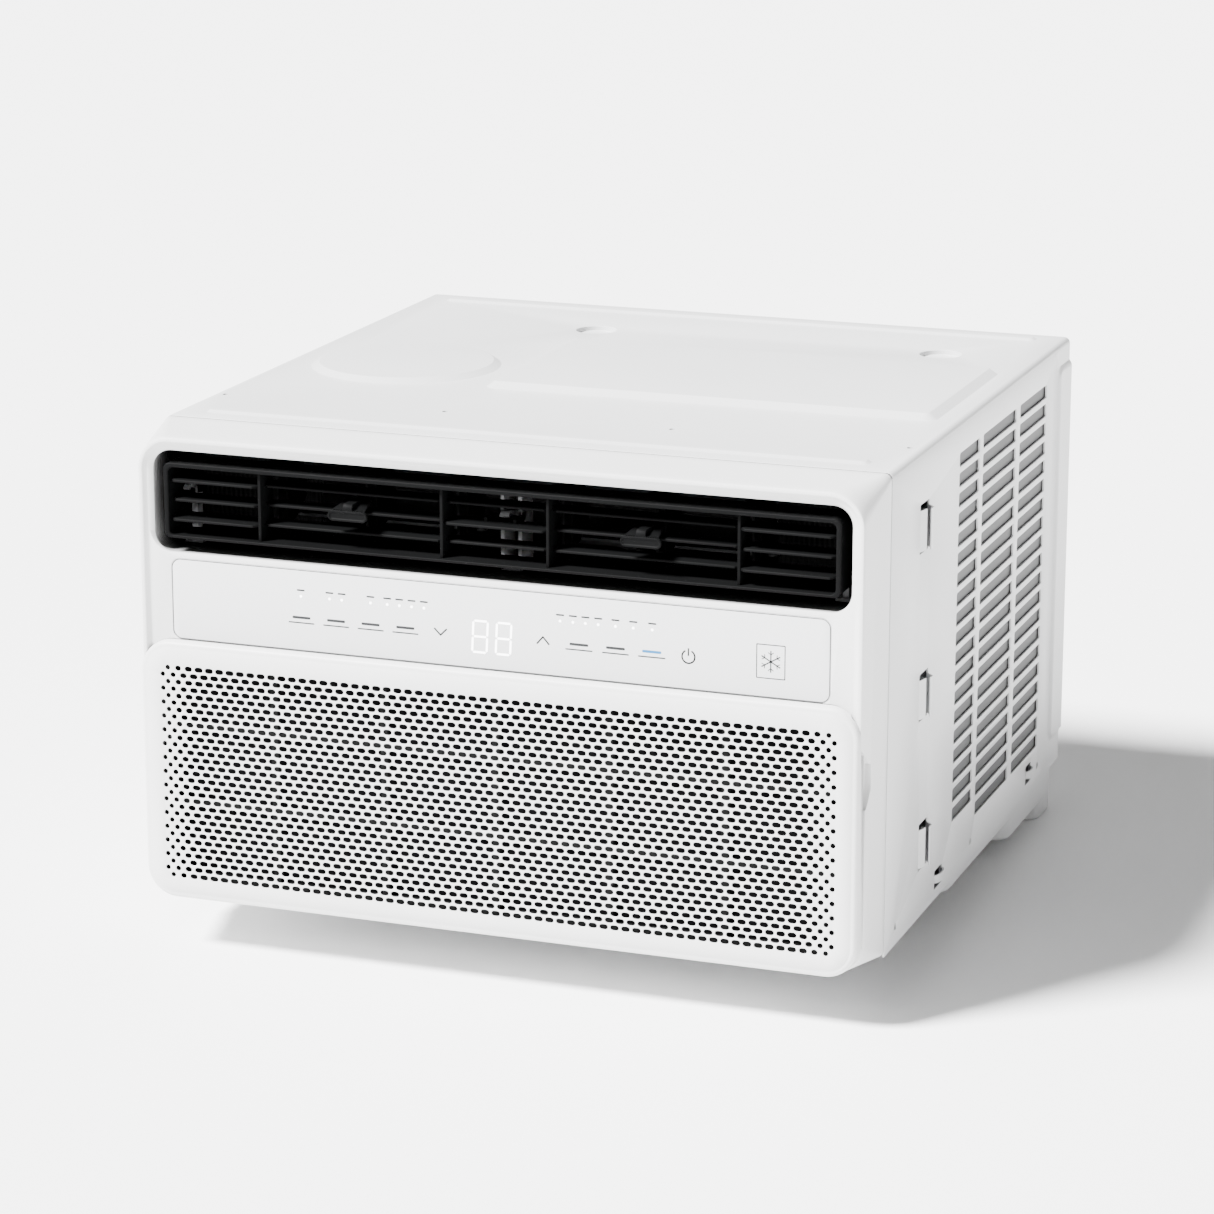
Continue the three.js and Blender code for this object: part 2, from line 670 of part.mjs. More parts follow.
function makeFans() {
  const at = (points) => points.map(([u, v]) => [SHAFT_X + u, SHAFT_Z + v]);
  const disc = (radius, count) => at(circle(0, 0, radius, count));

  const can = solid(alongY(disc(44, 28), 132, 208));
  place("motor_can", can.subtract(solid(alongY(disc(5, 12), 130, 210))), "steel");
  const saddle = [[-30, -112], [30, -112], [30, -60], [14, -44.6], [-14, -44.6], [-30, -60]];
  const cradle = solid(
    alongY(at(saddle), 140, 200),
    box(SHAFT_X - 48, SHAFT_X + 48, 136, 204, 2, 20),
  );
  const relief = solid(box(SHAFT_X - 24, SHAFT_X + 24, 130, 210, 26, 68));
  place("motor_bracket", cradle.subtract(relief), "steel");

  place("motor_shaft", alongY(disc(4, 16), 52, 352), "steel");

  // Blower wheel: a hub disc, a front ring and forward-curved blades between them.
  const bore = disc(4.4, 16);
  let wheel = solid(alongY(disc(70, 36), 98, 100.5));
  wheel = wheel.add(solid(alongY(disc(12, 16), 84, 99)));
  wheel = wheel.add(solid(alongY(disc(70, 36), 52, 55, [disc(58, 36).reverse()])));
  const blades = [];
  for (let i = 0; i < 20; i++) {
    const blade = box(58.5, 69.5, 53, 99, -0.7, 0.7);
    blade.translate(-64, 0, 0).rotateY(0.6).translate(64, 0, 0);
    blades.push(blade.rotateY((i * Math.PI) / 10).translate(SHAFT_X, 0, SHAFT_Z));
  }
  wheel = wheel.add(solid(...blades)).subtract(solid(alongY(bore, 40, 110)));
  place("blower_wheel", wheel, "dark");

  // Condenser fan with a slinger ring that lifts water from the pan.
  let fan = solid(alongY(disc(30, 24), 306, 336));
  fan = fan.add(solid(alongY(disc(118, 40), 316, 324, [disc(114, 40).reverse()])));
  for (let i = 0; i < 5; i++) {
    const blade = box(24, 115.5, -1.2, 1.2, -30, 30);
    blade.rotateX(0.42).translate(0, 320, 0).rotateY((i * 2 * Math.PI) / 5);
    fan = fan.add(solid(blade.translate(SHAFT_X, 0, SHAFT_Z)));
  }
  place("condenser_fan", fan.subtract(solid(alongY(bore, 290, 350))), "dark");

  // Blower housing with an inlet in front and a mouth at the top front into the duct.
  let housing = solid(box(-150, 160, 36, 112, 12, 294));
  housing = housing.subtract(solid(box(-145, 155, 41, 107, 17, 289)));
  housing = housing.subtract(solid(alongY(disc(56, 32), 30, 50)));
  housing = housing.subtract(solid(alongY(disc(7, 16), 100, 120)));
  housing = housing.subtract(solid(box(-145, 155, 30, 50, 226, 286.5)));
  const scroll = [];
  for (let i = 0; i <= 20; i++) {
    const angle = ((-200 + i * 15) * Math.PI) / 180;
    const radius = 76 + i * 1.3;
    scroll.push([radius * Math.cos(angle), radius * Math.sin(angle)]);
  }
  const back = scroll.map(([u, v]) => [u * 1.035, v * 1.035]).reverse();
  housing = housing.add(solid(alongY(at([...scroll, ...back]), 40, 108)));
  place("blower_housing", housing, "foam");

  // Bulkhead, open for the motor shaft and the two lines to the evaporator.
  const passages = [
    disc(9, 12),
    rounded(-200, -172, 222, 248, 6, 2),
    rounded(-229, -218, 41, 59, 4, 2),
  ];
  const holes = passages.map((passage) => passage.reverse());
  place("bulkhead", alongY(rectangle(-231, 231, 2, 296), 115, 116.5, holes), "steel");

  const shroudRing = alongY(disc(126, 40), 310, 346, [disc(123, 40).reverse()]);
  const plate = alongY(rectangle(-222, 222, -18, 264), 345, 346.5, [disc(124.5, 40).reverse()]);
  place("fan_shroud", solid(plate, shroudRing), "dark");
}

function makeControls() {
  const tray = solid(box(168, 230, 36, 108, 90, 212));
  place("control_box", tray.subtract(solid(box(170, 228, 30, 106, 92, 210))), "steel");
  place("control_board", box(172, 174, 40, 102, 100, 200), "board");
  place("run_capacitor", alongZ(circle(204, 70, 17, 20), 100, 168), "steel");
}

makeCabinet();
makePan();
makeBezel();
makeGrille();
makeFilter();
makeDuct();
makeBrackets();
makeLouvreFrame();
makeVanes();
makeEvaporator();
makeCompressor();
makeFans();
makeControls();

export default air;
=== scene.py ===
"""Window air conditioner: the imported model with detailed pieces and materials, on a pale floor."""
import math

import bmesh
import bpy
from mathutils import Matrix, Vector
from mathutils.geometry import delaunay_2d_cdt


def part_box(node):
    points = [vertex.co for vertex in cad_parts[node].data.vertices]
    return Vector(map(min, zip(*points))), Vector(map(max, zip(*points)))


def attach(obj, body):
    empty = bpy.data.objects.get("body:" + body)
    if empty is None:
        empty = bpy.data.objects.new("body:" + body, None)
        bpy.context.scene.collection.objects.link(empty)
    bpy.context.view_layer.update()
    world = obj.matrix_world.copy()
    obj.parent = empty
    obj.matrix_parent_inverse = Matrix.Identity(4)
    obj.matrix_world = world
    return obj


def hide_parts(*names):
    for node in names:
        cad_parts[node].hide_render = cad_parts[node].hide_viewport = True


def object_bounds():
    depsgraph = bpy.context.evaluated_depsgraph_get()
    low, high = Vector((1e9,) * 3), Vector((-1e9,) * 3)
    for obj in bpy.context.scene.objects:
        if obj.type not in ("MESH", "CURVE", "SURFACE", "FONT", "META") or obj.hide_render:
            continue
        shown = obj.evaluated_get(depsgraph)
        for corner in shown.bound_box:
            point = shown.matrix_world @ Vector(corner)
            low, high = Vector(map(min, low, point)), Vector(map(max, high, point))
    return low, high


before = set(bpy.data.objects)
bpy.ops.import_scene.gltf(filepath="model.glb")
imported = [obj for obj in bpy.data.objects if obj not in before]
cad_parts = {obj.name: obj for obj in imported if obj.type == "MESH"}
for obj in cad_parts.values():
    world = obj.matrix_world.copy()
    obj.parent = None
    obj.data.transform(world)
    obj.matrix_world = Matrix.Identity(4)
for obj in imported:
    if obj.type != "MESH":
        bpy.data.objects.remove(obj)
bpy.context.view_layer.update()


# Measurements below are millimetres from the cabinet datum: x = 0 in the middle, y = 0 at the
# cabinet's front edge, z = 0 at the lower edge of its sides. DATUM_Y and DATUM_Z move them to the frame.
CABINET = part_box("cabinet_shell")
CABINET_DEPTH = 435
PAN_DEPTH = 33
DATUM_Y = CABINET[1][1] * 1000 - CABINET_DEPTH
DATUM_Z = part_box("base_pan")[0][2] * 1000 + PAN_DEPTH


def metres(x, y, z):
    return (x / 1000, (y + DATUM_Y) / 1000, (z + DATUM_Z) / 1000)


# ---------------------------------------------------------------- mesh building


class Form:
    """Points in millimetres and the faces between them."""

    def __init__(self):
        self.points = []
        self.faces = []
        self.smooth = []

    def add(self, points, faces, smooth=True):
        start = len(self.points)
        self.points += points
        self.faces += [[start + i for i in face] for face in faces]
        self.smooth += [smooth] * len(faces)
        return self

    def join(self, other):
        self.smooth += other.smooth
        start = len(self.points)
        self.points += other.points
        self.faces += [[start + i for i in face] for face in other.faces]
        return self

    def loft(self, loops, closed=True, caps=(True, True), ring=False):
        """Skin over loops of equal length. caps closes the first and last; ring joins them."""
        count = len(loops[0])
        faces = []
        spans = len(loops) if ring else len(loops) - 1
        for k in range(spans):
            a, b = k * count, ((k + 1) % len(loops)) * count
            for i in range(count if closed else count - 1):
                j = (i + 1) % count
                faces.append([a + i, a + j, b + j, b + i])
        if not ring and caps[0]:
            faces.append(list(range(count))[::-1])
        if not ring and caps[1]:
            faces.append([(len(loops) - 1) * count + i for i in range(count)])
        return self.add([point for loop in loops for point in loop], faces)

    def block(self, x0, x1, y0, y1, z0, z1, edge=0.4):
        """A box with all its edges rounded."""
        loops = []
        for y, inset in ((y0, edge), (y0 + 0.3 * edge, 0.3 * edge), (y0 + edge, 0),
                         (y1 - edge, 0), (y1 - 0.3 * edge, 0.3 * edge), (y1, edge)):
            outline = rounded(x0 + inset, x1 - inset, z0 + inset, z1 - inset, max(edge - inset, 0.02), 2)
            loops.append([(u, y, v) for u, v in outline])
        return self.loft(loops)

    def turned(self, profile, centre, axis="z", count=32):
        """A turned body. profile holds (radius, height) from one end to the other."""
        loops = []
        for radius, height in profile:
            loop = []
            for k in range(count):
                a = 2 * math.pi * k / count
                u, v = radius * math.cos(a), radius * math.sin(a)
                offset = {"z": (u, v, height), "y": (u, height, v), "x": (height, u, v)}[axis]
                loop.append(tuple(c + o for c, o in zip(centre, offset)))
            loops.append(loop)
        return self.loft(loops)

    def plate(self, outer, holes, place, thickness, edge=0.3, back=True, steps=None):
        """A flat sheet with holes whose edges are rounded.

        outer and each hole take an offset in millimetres and return an outline. place turns
        (u, v, depth) into a point.
        """
        steps = steps or [(edge, 0), (0.3 * edge, 0.3 * edge), (0, edge)]
        self.sheet([outer(-edge)] + [hole(edge) for hole in holes], lambda u, v: place(u, v, 0))
        for outline, sign in [(outer, -1)] + [(hole, 1) for hole in holes]:
            loops = [[place(u, v, depth) for u, v in outline(sign * grow)] for grow, depth in steps]
            loops.append([place(u, v, thickness) for u, v in outline(0)])
            self.loft(loops, caps=(False, False))
        if back:
            outlines = [outer(0)] + [hole(0) for hole in holes]
            self.sheet(outlines, lambda u, v: place(u, v, thickness))
        return self

    def sheet(self, outlines, place):
        """Fills the first outline, leaving the others, which are convex, open."""
        flat = []
        edges = []
        owner = []
        for number, outline in enumerate(outlines):
            start = len(flat)
            flat += [Vector(point) for point in outline]
            count = len(outline)
            owner += [number] * count
            edges += [(start + i, start + (i + 1) % count) for i in range(count)]
        points, _, faces, sources, *_ = delaunay_2d_cdt(flat, edges, [], 1, 1e-5)
        owner = [owner[source[0]] for source in sources]
        kept = [list(face) for face in faces if not (owner[face[0]] and len({owner[i] for i in face}) == 1)]
        return self.add([place(p.x, p.y) for p in points], kept, smooth=False)

    def mirrored(self):
        """Adds the same form on the other side of x = 0."""
        twin = Form()
        twin.points = [(-x, y, z) for x, y, z in self.points]
        twin.faces = [face[::-1] for face in self.faces]
        twin.smooth = list(self.smooth)
        return self.join(twin)

    def piece(self, name, body, slot, material, replaces=(), angle=35):
        mesh = bpy.data.meshes.new(name)
        mesh.from_pydata([metres(*point) for point in self.points], [], self.faces)
        mesh.polygons.foreach_set("use_smooth", self.smooth)
        shaped = bmesh.new()
        shaped.from_mesh(mesh)
        bmesh.ops.remove_doubles(shaped, verts=shaped.verts, dist=2e-6)
        bmesh.ops.recalc_face_normals(shaped, faces=shaped.faces)
        shaped.to_mesh(mesh)
        shaped.free()
        mesh.set_sharp_from_angle(angle=math.radians(angle))
        thing = bpy.data.objects.new(name, mesh)
        bpy.context.scene.collection.objects.link(thing)
        mesh.materials.append(material)
        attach(thing, body)
        if replaces:
            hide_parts(*replaces)
        return thing


def rounded(u0, u1, v0, v1, radius, count=6):
    corners = ((u1 - radius, v0 + radius, -90), (u1 - radius, v1 - radius, 0),
               (u0 + radius, v1 - radius, 90), (u0 + radius, v0 + radius, 180))
    points = []
    for u, v, start in corners:
        for i in range(count + 1):
            angle = math.radians(start + 90 * i / count)
            points.append((u + radius * math.cos(angle), v + radius * math.sin(angle)))
    return points


def window(u0, u1, v0, v1, radius, count=4):
    """A rounded rectangle that can grow or shrink by an offset."""
    return lambda grow: rounded(u0 - grow, u1 + grow, v0 - grow, v1 + grow, max(radius + grow, 0.05), count)


def circle(u, v, radius, count=24):
    return lambda grow: [
        (u + (radius + grow) * math.cos(2 * math.pi * k / count),
         v + (radius + grow) * math.sin(2 * math.pi * k / count)) for k in range(count)
    ]


def outline_of(points):
    """Any simple outline, with each side moved outwards by the offset."""
    area = sum(a[0] * b[1] - b[0] * a[1] for a, b in zip(points, points[1:] + points[:1]))
    turned = 1 if area > 0 else -1

    def grown(grow):
        result = []
        for i, point in enumerate(points):
            before = Vector(point) - Vector(points[i - 1])
            after = Vector(points[(i + 1) % len(points)]) - Vector(point)
            before.normalize()
            after.normalize()
            normal = Vector((before.y + after.y, -before.x - after.x)) * turned
            normal.normalize()
            lean = max(normal.dot(Vector((before.y, -before.x)) * turned), 0.35)
            result.append(tuple(Vector(point) + normal * (grow / lean)))
        return result

    return grown


def smooth(value):
    value = min(max(value, 0), 1)
    return value * value * (3 - 2 * value)


# ---------------------------------------------------------------- materials


def material(name, colour, roughness, metallic=0.0, grain=0.0, grain_scale=900.0, mottle=0.03,
             coat=0.0, specular=0.5, patch_scale=14.0):
    """Colour with faint large-scale mottling, uneven roughness and a fine surface grain."""
    made = bpy.data.materials.new(name)
    made.use_nodes = True
    nodes, links = made.node_tree.nodes, made.node_tree.links
    shader = nodes["Principled BSDF"]
    place = nodes.new("ShaderNodeTexCoord")
    patches = nodes.new("ShaderNodeTexNoise")
    patches.inputs["Scale"].default_value = patch_scale
    patches.inputs["Detail"].default_value = 4
    links.new(place.outputs["Object"], patches.inputs["Vector"])
    ramp = nodes.new("ShaderNodeMix")
    ramp.data_type = "RGBA"
    ramp.inputs["A"].default_value = (*[c * (1 - mottle) for c in colour], 1)
    ramp.inputs["B"].default_value = (*[min(c * (1 + mottle), 1) for c in colour], 1)
    links.new(patches.outputs["Fac"], ramp.inputs["Factor"])
    links.new(ramp.outputs["Result"], shader.inputs["Base Color"])
    rough = nodes.new("ShaderNodeMapRange")
    rough.inputs["To Min"].default_value = max(roughness - 0.05, 0)
    rough.inputs["To Max"].default_value = roughness + 0.05
    links.new(patches.outputs["Fac"], rough.inputs["Value"])
    links.new(rough.outputs["Result"], shader.inputs["Roughness"])
    shader.inputs["Metallic"].default_value = metallic
    shader.inputs["Coat Weight"].default_value = coat
    shader.inputs["Specular IOR Level"].default_value = specular
    if grain:
        noise = nodes.new("ShaderNodeTexNoise")
        noise.inputs["Scale"].default_value = grain_scale
        noise.inputs["Detail"].default_value = 3
        links.new(place.outputs["Object"], noise.inputs["Vector"])
        bump = nodes.new("ShaderNodeBump")
        bump.inputs["Strength"].default_value = grain
        bump.inputs["Distance"].default_value = 0.0002
        links.new(noise.outputs["Fac"], bump.inputs["Height"])
        links.new(bump.outputs["Normal"], shader.inputs["Normal"])
    return made


def bands(made, axis, pitch, depth, dark=0.4):
    """Adds fine straight ridges, such as a coil's fins, across one axis, with painted shade: the colour is
    darker in the troughs between the ridges.
    """
    nodes, links = made.node_tree.nodes, made.node_tree.links
    shader = nodes["Principled BSDF"]
    place = nodes.new("ShaderNodeTexCoord")
    wave = nodes.new("ShaderNodeTexWave")
    wave.wave_type = "BANDS"
    wave.bands_direction = axis
    wave.inputs["Scale"].default_value = 0.314 / pitch
    links.new(place.outputs["Object"], wave.inputs["Vector"])
    bump = nodes.new("ShaderNodeBump")
    bump.inputs["Strength"].default_value = 0.8
    bump.inputs["Distance"].default_value = depth
    links.new(wave.outputs["Fac"], bump.inputs["Height"])
    links.new(bump.outputs["Normal"], shader.inputs["Normal"])
    # Painted shade: the base colour is multiplied darker in the troughs of the ridges.
    shade = nodes.new("ShaderNodeMix")
    shade.data_type = "RGBA"
    shade.blend_type = "MULTIPLY"
    shade.inputs["Factor"].default_value = dark
    source = shader.inputs["Base Color"].links[0].from_socket
    links.new(source, shade.inputs["A"])
    links.new(wave.outputs["Color"], shade.inputs["B"])
    links.new(shade.outputs["Result"], shader.inputs["Base Color"])
    return made


def woven(made, pitch, depth, dark=0.5):
    """Adds crossed ridges, such as a wire screen or a filter net, with painted shade in the troughs between
    them.
    """
    bands(made, "Y", pitch, depth, dark)
    bands(made, "Z", pitch, depth, dark)
    return made


LOOKS = {
    "white": material("white_plastic", (0.66, 0.66, 0.658), 0.45,
                      grain=0.08, grain_scale=2600, mottle=0.006),
    "coat": material("painted_sheet", (0.59, 0.592, 0.594), 0.42, grain=0.12, grain_scale=700, mottle=0.01),
    "overlay": material("overlay_film", (0.62, 0.623, 0.628), 0.36,
                        grain=0.05, grain_scale=4000, mottle=0.006),
    "print_grey": material("print_grey", (0.022, 0.023, 0.024), 0.5, grain=0.1, mottle=0.05, specular=0.2),
    "white_print_and_glow": material("white_print_and_glow", (0.96, 0.96, 0.96), 0.3, grain=0.05),
    "print_blue": material("print_blue", (0.02, 0.13, 0.30), 0.45, grain=0.05, specular=0.2),
    "dark": material("charcoal_plastic", (0.0026, 0.0027, 0.0028), 0.6,
                     grain=0.15, grain_scale=2200, mottle=0.08,
                     specular=0.04),
    "filter_dark": material("filter_frame_plastic", (0.014, 0.014, 0.014), 0.8, mottle=0.1, specular=0.0),
    "link": material("link_plastic", (0.03, 0.031, 0.032), 0.5, grain=0.15, grain_scale=2200, specular=0.2),
    "clip": material("clip_plastic", (0.20, 0.204, 0.208), 0.45,
                     grain=0.15, grain_scale=2200, specular=0.3),
    "screen": woven(material("woven_screen", (0.11, 0.111, 0.113), 0.6, 0.1, mottle=0.05),
                    1.6, 0.0002, 0.35),
    "net": woven(material("filter_net", (0.022, 0.022, 0.023), 0.9, mottle=0.1, specular=0.0),
                 1.4, 0.0003, 0.6),
    "fins": bands(material("aluminium_fins", (0.62, 0.64, 0.66), 0.38, 0.9, mottle=0.05),
                  "X", 1.8, 0.0006, 0.7),
    "copper": material("copper_tube", (0.70, 0.33, 0.18), 0.3, 1.0,
                       grain=0.1, grain_scale=300, mottle=0.18),
    "zinc": material("zinc_sheet", (0.50, 0.52, 0.53), 0.38, 0.85,
                     grain=0.12, grain_scale=260, mottle=0.12),
    "enamel": material("black_enamel", (0.012, 0.012, 0.013), 0.28, grain=0.2, grain_scale=240, coat=0.4),
    "rubber": material("moulded_rubber", (0.014, 0.014, 0.015), 0.75,
                       grain=0.3, grain_scale=1500, mottle=0.15),
    "foam": material("dark_bead_foam", (0.012, 0.012, 0.013), 0.85, grain=0.7, grain_scale=260, mottle=0.2),
    "board": material("circuit_board", (0.02, 0.14, 0.06), 0.35, grain=0.3, grain_scale=420, mottle=0.3),
}


def duct_material():
    """Dark moulding with fine slanting ribs. Painted shade: its colour is mid grey at the mouth, by the white
    front, and darkens with depth, standing in for the shade inside the duct.
    """
    made = material("duct_plastic", (0.0035, 0.0035, 0.0036), 0.5, mottle=0.1, specular=0.06)
    nodes, links = made.node_tree.nodes, made.node_tree.links
    shader = nodes["Principled BSDF"]
    place = nodes.new("ShaderNodeTexCoord")
    split = nodes.new("ShaderNodeSeparateXYZ")
    links.new(place.outputs["Object"], split.inputs["Vector"])
    # Painted shade: mid grey at the mouth, fading to the dark moulding 31 mm in.
    depth = nodes.new("ShaderNodeMapRange")
    depth.inputs["From Min"].default_value = metres(0, -12, 0)[1]
    depth.inputs["From Max"].default_value = metres(0, -43, 0)[1]
    links.new(split.outputs["Y"], depth.inputs["Value"])
    painted_shade_falloff = nodes.new("ShaderNodeMath")
    painted_shade_falloff.operation = "POWER"
    painted_shade_falloff.inputs[1].default_value = 2.2
    links.new(depth.outputs["Result"], painted_shade_falloff.inputs[0])
    mix = nodes.new("ShaderNodeMix")
    mix.data_type = "RGBA"
    mix.inputs["B"].default_value = (0.50, 0.50, 0.50, 1)
    links.new(painted_shade_falloff.outputs["Value"], mix.inputs["Factor"])
    links.new(shader.inputs["Base Color"].links[0].from_socket, mix.inputs["A"])
    links.new(mix.outputs["Result"], shader.inputs["Base Color"])
    lean = nodes.new("ShaderNodeMapping")
    lean.inputs["Rotation"].default_value = (0, 0, math.radians(50))
    links.new(place.outputs["Object"], lean.inputs["Vector"])
    wave = nodes.new("ShaderNodeTexWave")
    wave.inputs["Scale"].default_value = 150
    links.new(lean.outputs["Vector"], wave.inputs["Vector"])
    bump = nodes.new("ShaderNodeBump")
    bump.inputs["Strength"].default_value = 0.9
    bump.inputs["Distance"].default_value = 0.0003
    links.new(wave.outputs["Fac"], bump.inputs["Height"])
    links.new(bump.outputs["Normal"], shader.inputs["Normal"])
    return made


LOOKS["duct"] = duct_material()
# The white print also glows: painted light, so the lamps and digits read brighter than lit white ink.
glow = LOOKS["white_print_and_glow"].node_tree.nodes["Principled BSDF"]
glow.inputs["Emission Color"].default_value = (1, 1, 1, 1)
glow.inputs["Emission Strength"].default_value = 5.0

NODE_LOOKS = {
    "side_screen_right": "screen", "side_screen_left": "screen",
    "drain_plug": "rubber", "cord_gland": "rubber",
    "display_board": "filter_dark", "filter_frame": "filter_dark",
    "filter_mesh": "net", "evaporator_core": "fins",
    "evaporator_end_left": "zinc", "evaporator_end_right": "zinc", "evaporator_bends": "copper",
    "condenser_core": "fins", "condenser_end_left": "zinc", "condenser_end_right": "zinc",
    "compressor": "enamel", "compressor_grommet_1": "rubber", "compressor_grommet_2": "rubber",
    "compressor_grommet_3": "rubber", "terminal_cover": "enamel", "accumulator": "enamel",
    "suction_tube": "copper", "discharge_tube": "copper", "capillary_tube": "copper", "motor_can": "zinc",
    "motor_bracket": "zinc", "motor_shaft": "zinc", "blower_wheel": "dark", "condenser_fan": "dark",
    "blower_housing": "foam", "bulkhead": "zinc", "fan_shroud": "dark", "control_box": "zinc",
    "control_board": "board", "run_capacitor": "zinc",
}


def dress_nodes():
    for node, look in NODE_LOOKS.items():
        thing = bpy.data.objects[node]
        thing.data.materials.clear()
        thing.data.materials.append(LOOKS[look])


# ---------------------------------------------------------------- cabinet

HALF = 235.0
TOP = 300.0
BEND = 4.0
SHEET = 1.2


def box_distance(x, y, x0, x1, y0, y1, radius):
    """Signed distance to a rounded rectangle, negative inside."""
    dx = abs(x - (x0 + x1) / 2) - (x1 - x0) / 2 + radius
    dy = abs(y - (y0 + y1) / 2) - (y1 - y0) / 2 + radius
    return min(max(dx, dy), 0) + math.hypot(max(dx, 0), max(dy, 0)) - radius


def spread(start, end, step):
    count = max(1, round((end - start) / step))
    return [start + (end - start) * i / count for i in range(count + 1)]


def pressing(form, outline, rise, run):
    """A plateau with sloping sides and slightly rounded edges. A negative rise makes a dish."""
    soft = min(0.8, run / 2.5)
    part = 0.3 * rise * soft / run
    steps = [(0, 0), (0.45 * soft, 0.2 * part), (soft, part), (run - soft, rise - part),
             (run - 0.45 * soft, rise - 0.2 * part), (run, rise)]
    form.loft([[(u, v, TOP + height) for u, v in outline(-inset)] for inset, height in steps],
              caps=(False, False))
    form.sheet([outline(-run)], lambda u, v: (u, v, TOP + rise))


PRESSINGS = (
    (circle(-154, 194, 63, 72), 3.3, 6),
    (window(-80, 221, 142, 303, 9, 8), 4.0, 6.5),
    (window(-216, 216, 14, 27, 5, 6), 1.5, 3.5),
    (window(-216, 216, 411, 424, 5, 6), 1.5, 3.5),
    (circle(-77.5, 349, 14.5, 40), -3.3, 1.6),
    (circle(167.4, 348.5, 14.5, 40), -3.3, 1.6),
)
TOP_HOLES = tuple(circle(x, 67.7, 2, 14) for x in (-226, -75, 75, 226))


def make_cabinet_top():
    form = Form()
    front, rear = 0.6, 434.4

    def bend(side, y, level, drop=0):
        reach = BEND - level - drop
        turn = [math.pi * i / 12 for i in range(7)]
        return [
            (side * (HALF - BEND + reach * math.cos(a)), y, TOP - BEND + reach * math.sin(a)) for a in turn
        ]

    for ends in (((0, 0.35), (0.25, 0.1), (front, 0)), ((435, 0.35), (434.75, 0.1), (rear, 0))):
        form.loft([bend(-1, y, 0, drop) + bend(1, y, 0, drop)[::-1] for y, drop in ends],
                  closed=False, caps=(False, False))
    for side in (-1, 1):
        for level in (0, SHEET):
            form.loft([bend(side, y, level) for y in (front, rear)], closed=False, caps=(False, False))
    reach = HALF - BEND
    holes = [outline(0) for outline, _, _ in PRESSINGS] + [hole(0) for hole in TOP_HOLES]
    corners = [(-reach, front), (reach, front), (reach, rear), (-reach, rear)]
    form.sheet([corners] + holes, lambda u, v: (u, v, TOP))
    for outline, rise, run in PRESSINGS:
        pressing(form, outline, rise, run)
    for hole in TOP_HOLES:
        form.loft([[(u, v, z) for u, v in hole(0)] for z in (TOP, TOP - SHEET)], caps=(False, False))
    return form


SLOT_COLUMNS = ((151, 199, 19), (208, 291.5, 20), (301.5, 372, 20))
HOOKS = ((62, 235.8, 266.3), (67.5, 129, 158.7), (73, 31.4, 61.3))
CLIPS = ((112, 130, 7, 19), (342.6, 357, 7, 20))
JOGGLE = 400.0


def side_openings():
    openings = []
    for front, rear, rows in SLOT_COLUMNS:
        for row in range(rows):
            high = 279.3 - row * 12.83
            openings.append(window(front, rear, high - 8.6, high, 1.6, 4))
    for front, bottom, high in HOOKS:
        openings.append(window(front, front + 19.5, bottom, high, 0.8, 2))
    for front, rear, bottom, high in CLIPS:
        openings.append(window(front, rear, bottom, high, 0.8, 2))
    for y in (24, 199, 375):
        openings.append(circle(y, 12, 2.25, 16))
    return openings


def joggle_height(y, z):
    return 1.8 * smooth(-box_distance(y, z, 403, 460, 21, 284.5, 7) / 2.4)


def hook(form, front, bottom, high):
    """A lanced hook: a ramp that leaves the sheet at its front, and a thin lip over its rear end."""
    low, top = bottom + 1.2, high - 3.6
    ramp = [(-0.4, front - 0.8), (-0.5, front + 0.2), (0.0, front + 1.2),
            (1.6, front + 7.4), (1.9, front + 8.2),
            (1.9, front + 8.6), (1.6, front + 8.9), (-1.0, front + 9.0),
            (-1.0, front + 8.2), (0.8, front + 7.6),
            (-1.0, front + 1.6), (-1.4, front - 0.8)]
    lip = [(3.2, front + 11), (3.7, front + 10.7), (4.2, front + 11),
           (4.2, front + 15), (3.6, front + 16.6),
           (-0.1, front + 20.3), (-1.1, front + 20.3), (-1.1, front + 19.2), (2.6, front + 15.6),
           (3.2, front + 14.4)]
    for section in (ramp, lip):
        form.loft([[(HALF + x, y, z) for x, y in section] for z in (low, low + 0.25, top - 0.25, top)])
    return form


def bridge(form, front, rear, bottom, high):
    """A narrow strip pushed outwards across a lanced window."""
    middle = (bottom + high) / 2 + 0.8
    reach = (rear - front) / 2
    outer = []
    for i in range(13):
        a = math.pi * i / 12
        outer.append((-0.8 + 3.6 * math.sin(a) ** 0.8, front + reach - (reach + 0.6) * math.cos(a)))
    inner = [(x - 1.1, front + reach + (y - front - reach) * 0.88) for x, y in outer][::-1]
    loops = [[(HALF + x, y, z) for x, y in outer + inner]
             for z in (middle - 2.6, middle - 2.2, middle + 2.2, middle + 2.6)]
    return form.loft(loops)


def make_cabinet_side():
    form = Form()
    form.plate(
        window(0.2, JOGGLE, 0, TOP - BEND, 0.3, 1), side_openings(),
        lambda y, z, depth: (HALF - depth, y, z), SHEET, edge=0.45,
    )
    ys = spread(JOGGLE - 0.45, 434.6, 1.2) + [435.0]
    zs = [0.0, 0.4] + spread(1, TOP - BEND, 1.6)
    for level in (0, SHEET):
        rows = []
        for y in ys:
            drop = 0.4 if y > 434.8 and level == 0 else 0
            rows.append([(HALF + joggle_height(y, z) - level - drop, y, z) for z in zs])
        form.loft(rows, closed=False, caps=(False, False))
    for front, bottom, high in HOOKS:
        hook(form, front, bottom, high)
    for front, rear, bottom, high in CLIPS:
        bridge(form, front, rear, bottom, high)
    return form.mirrored()


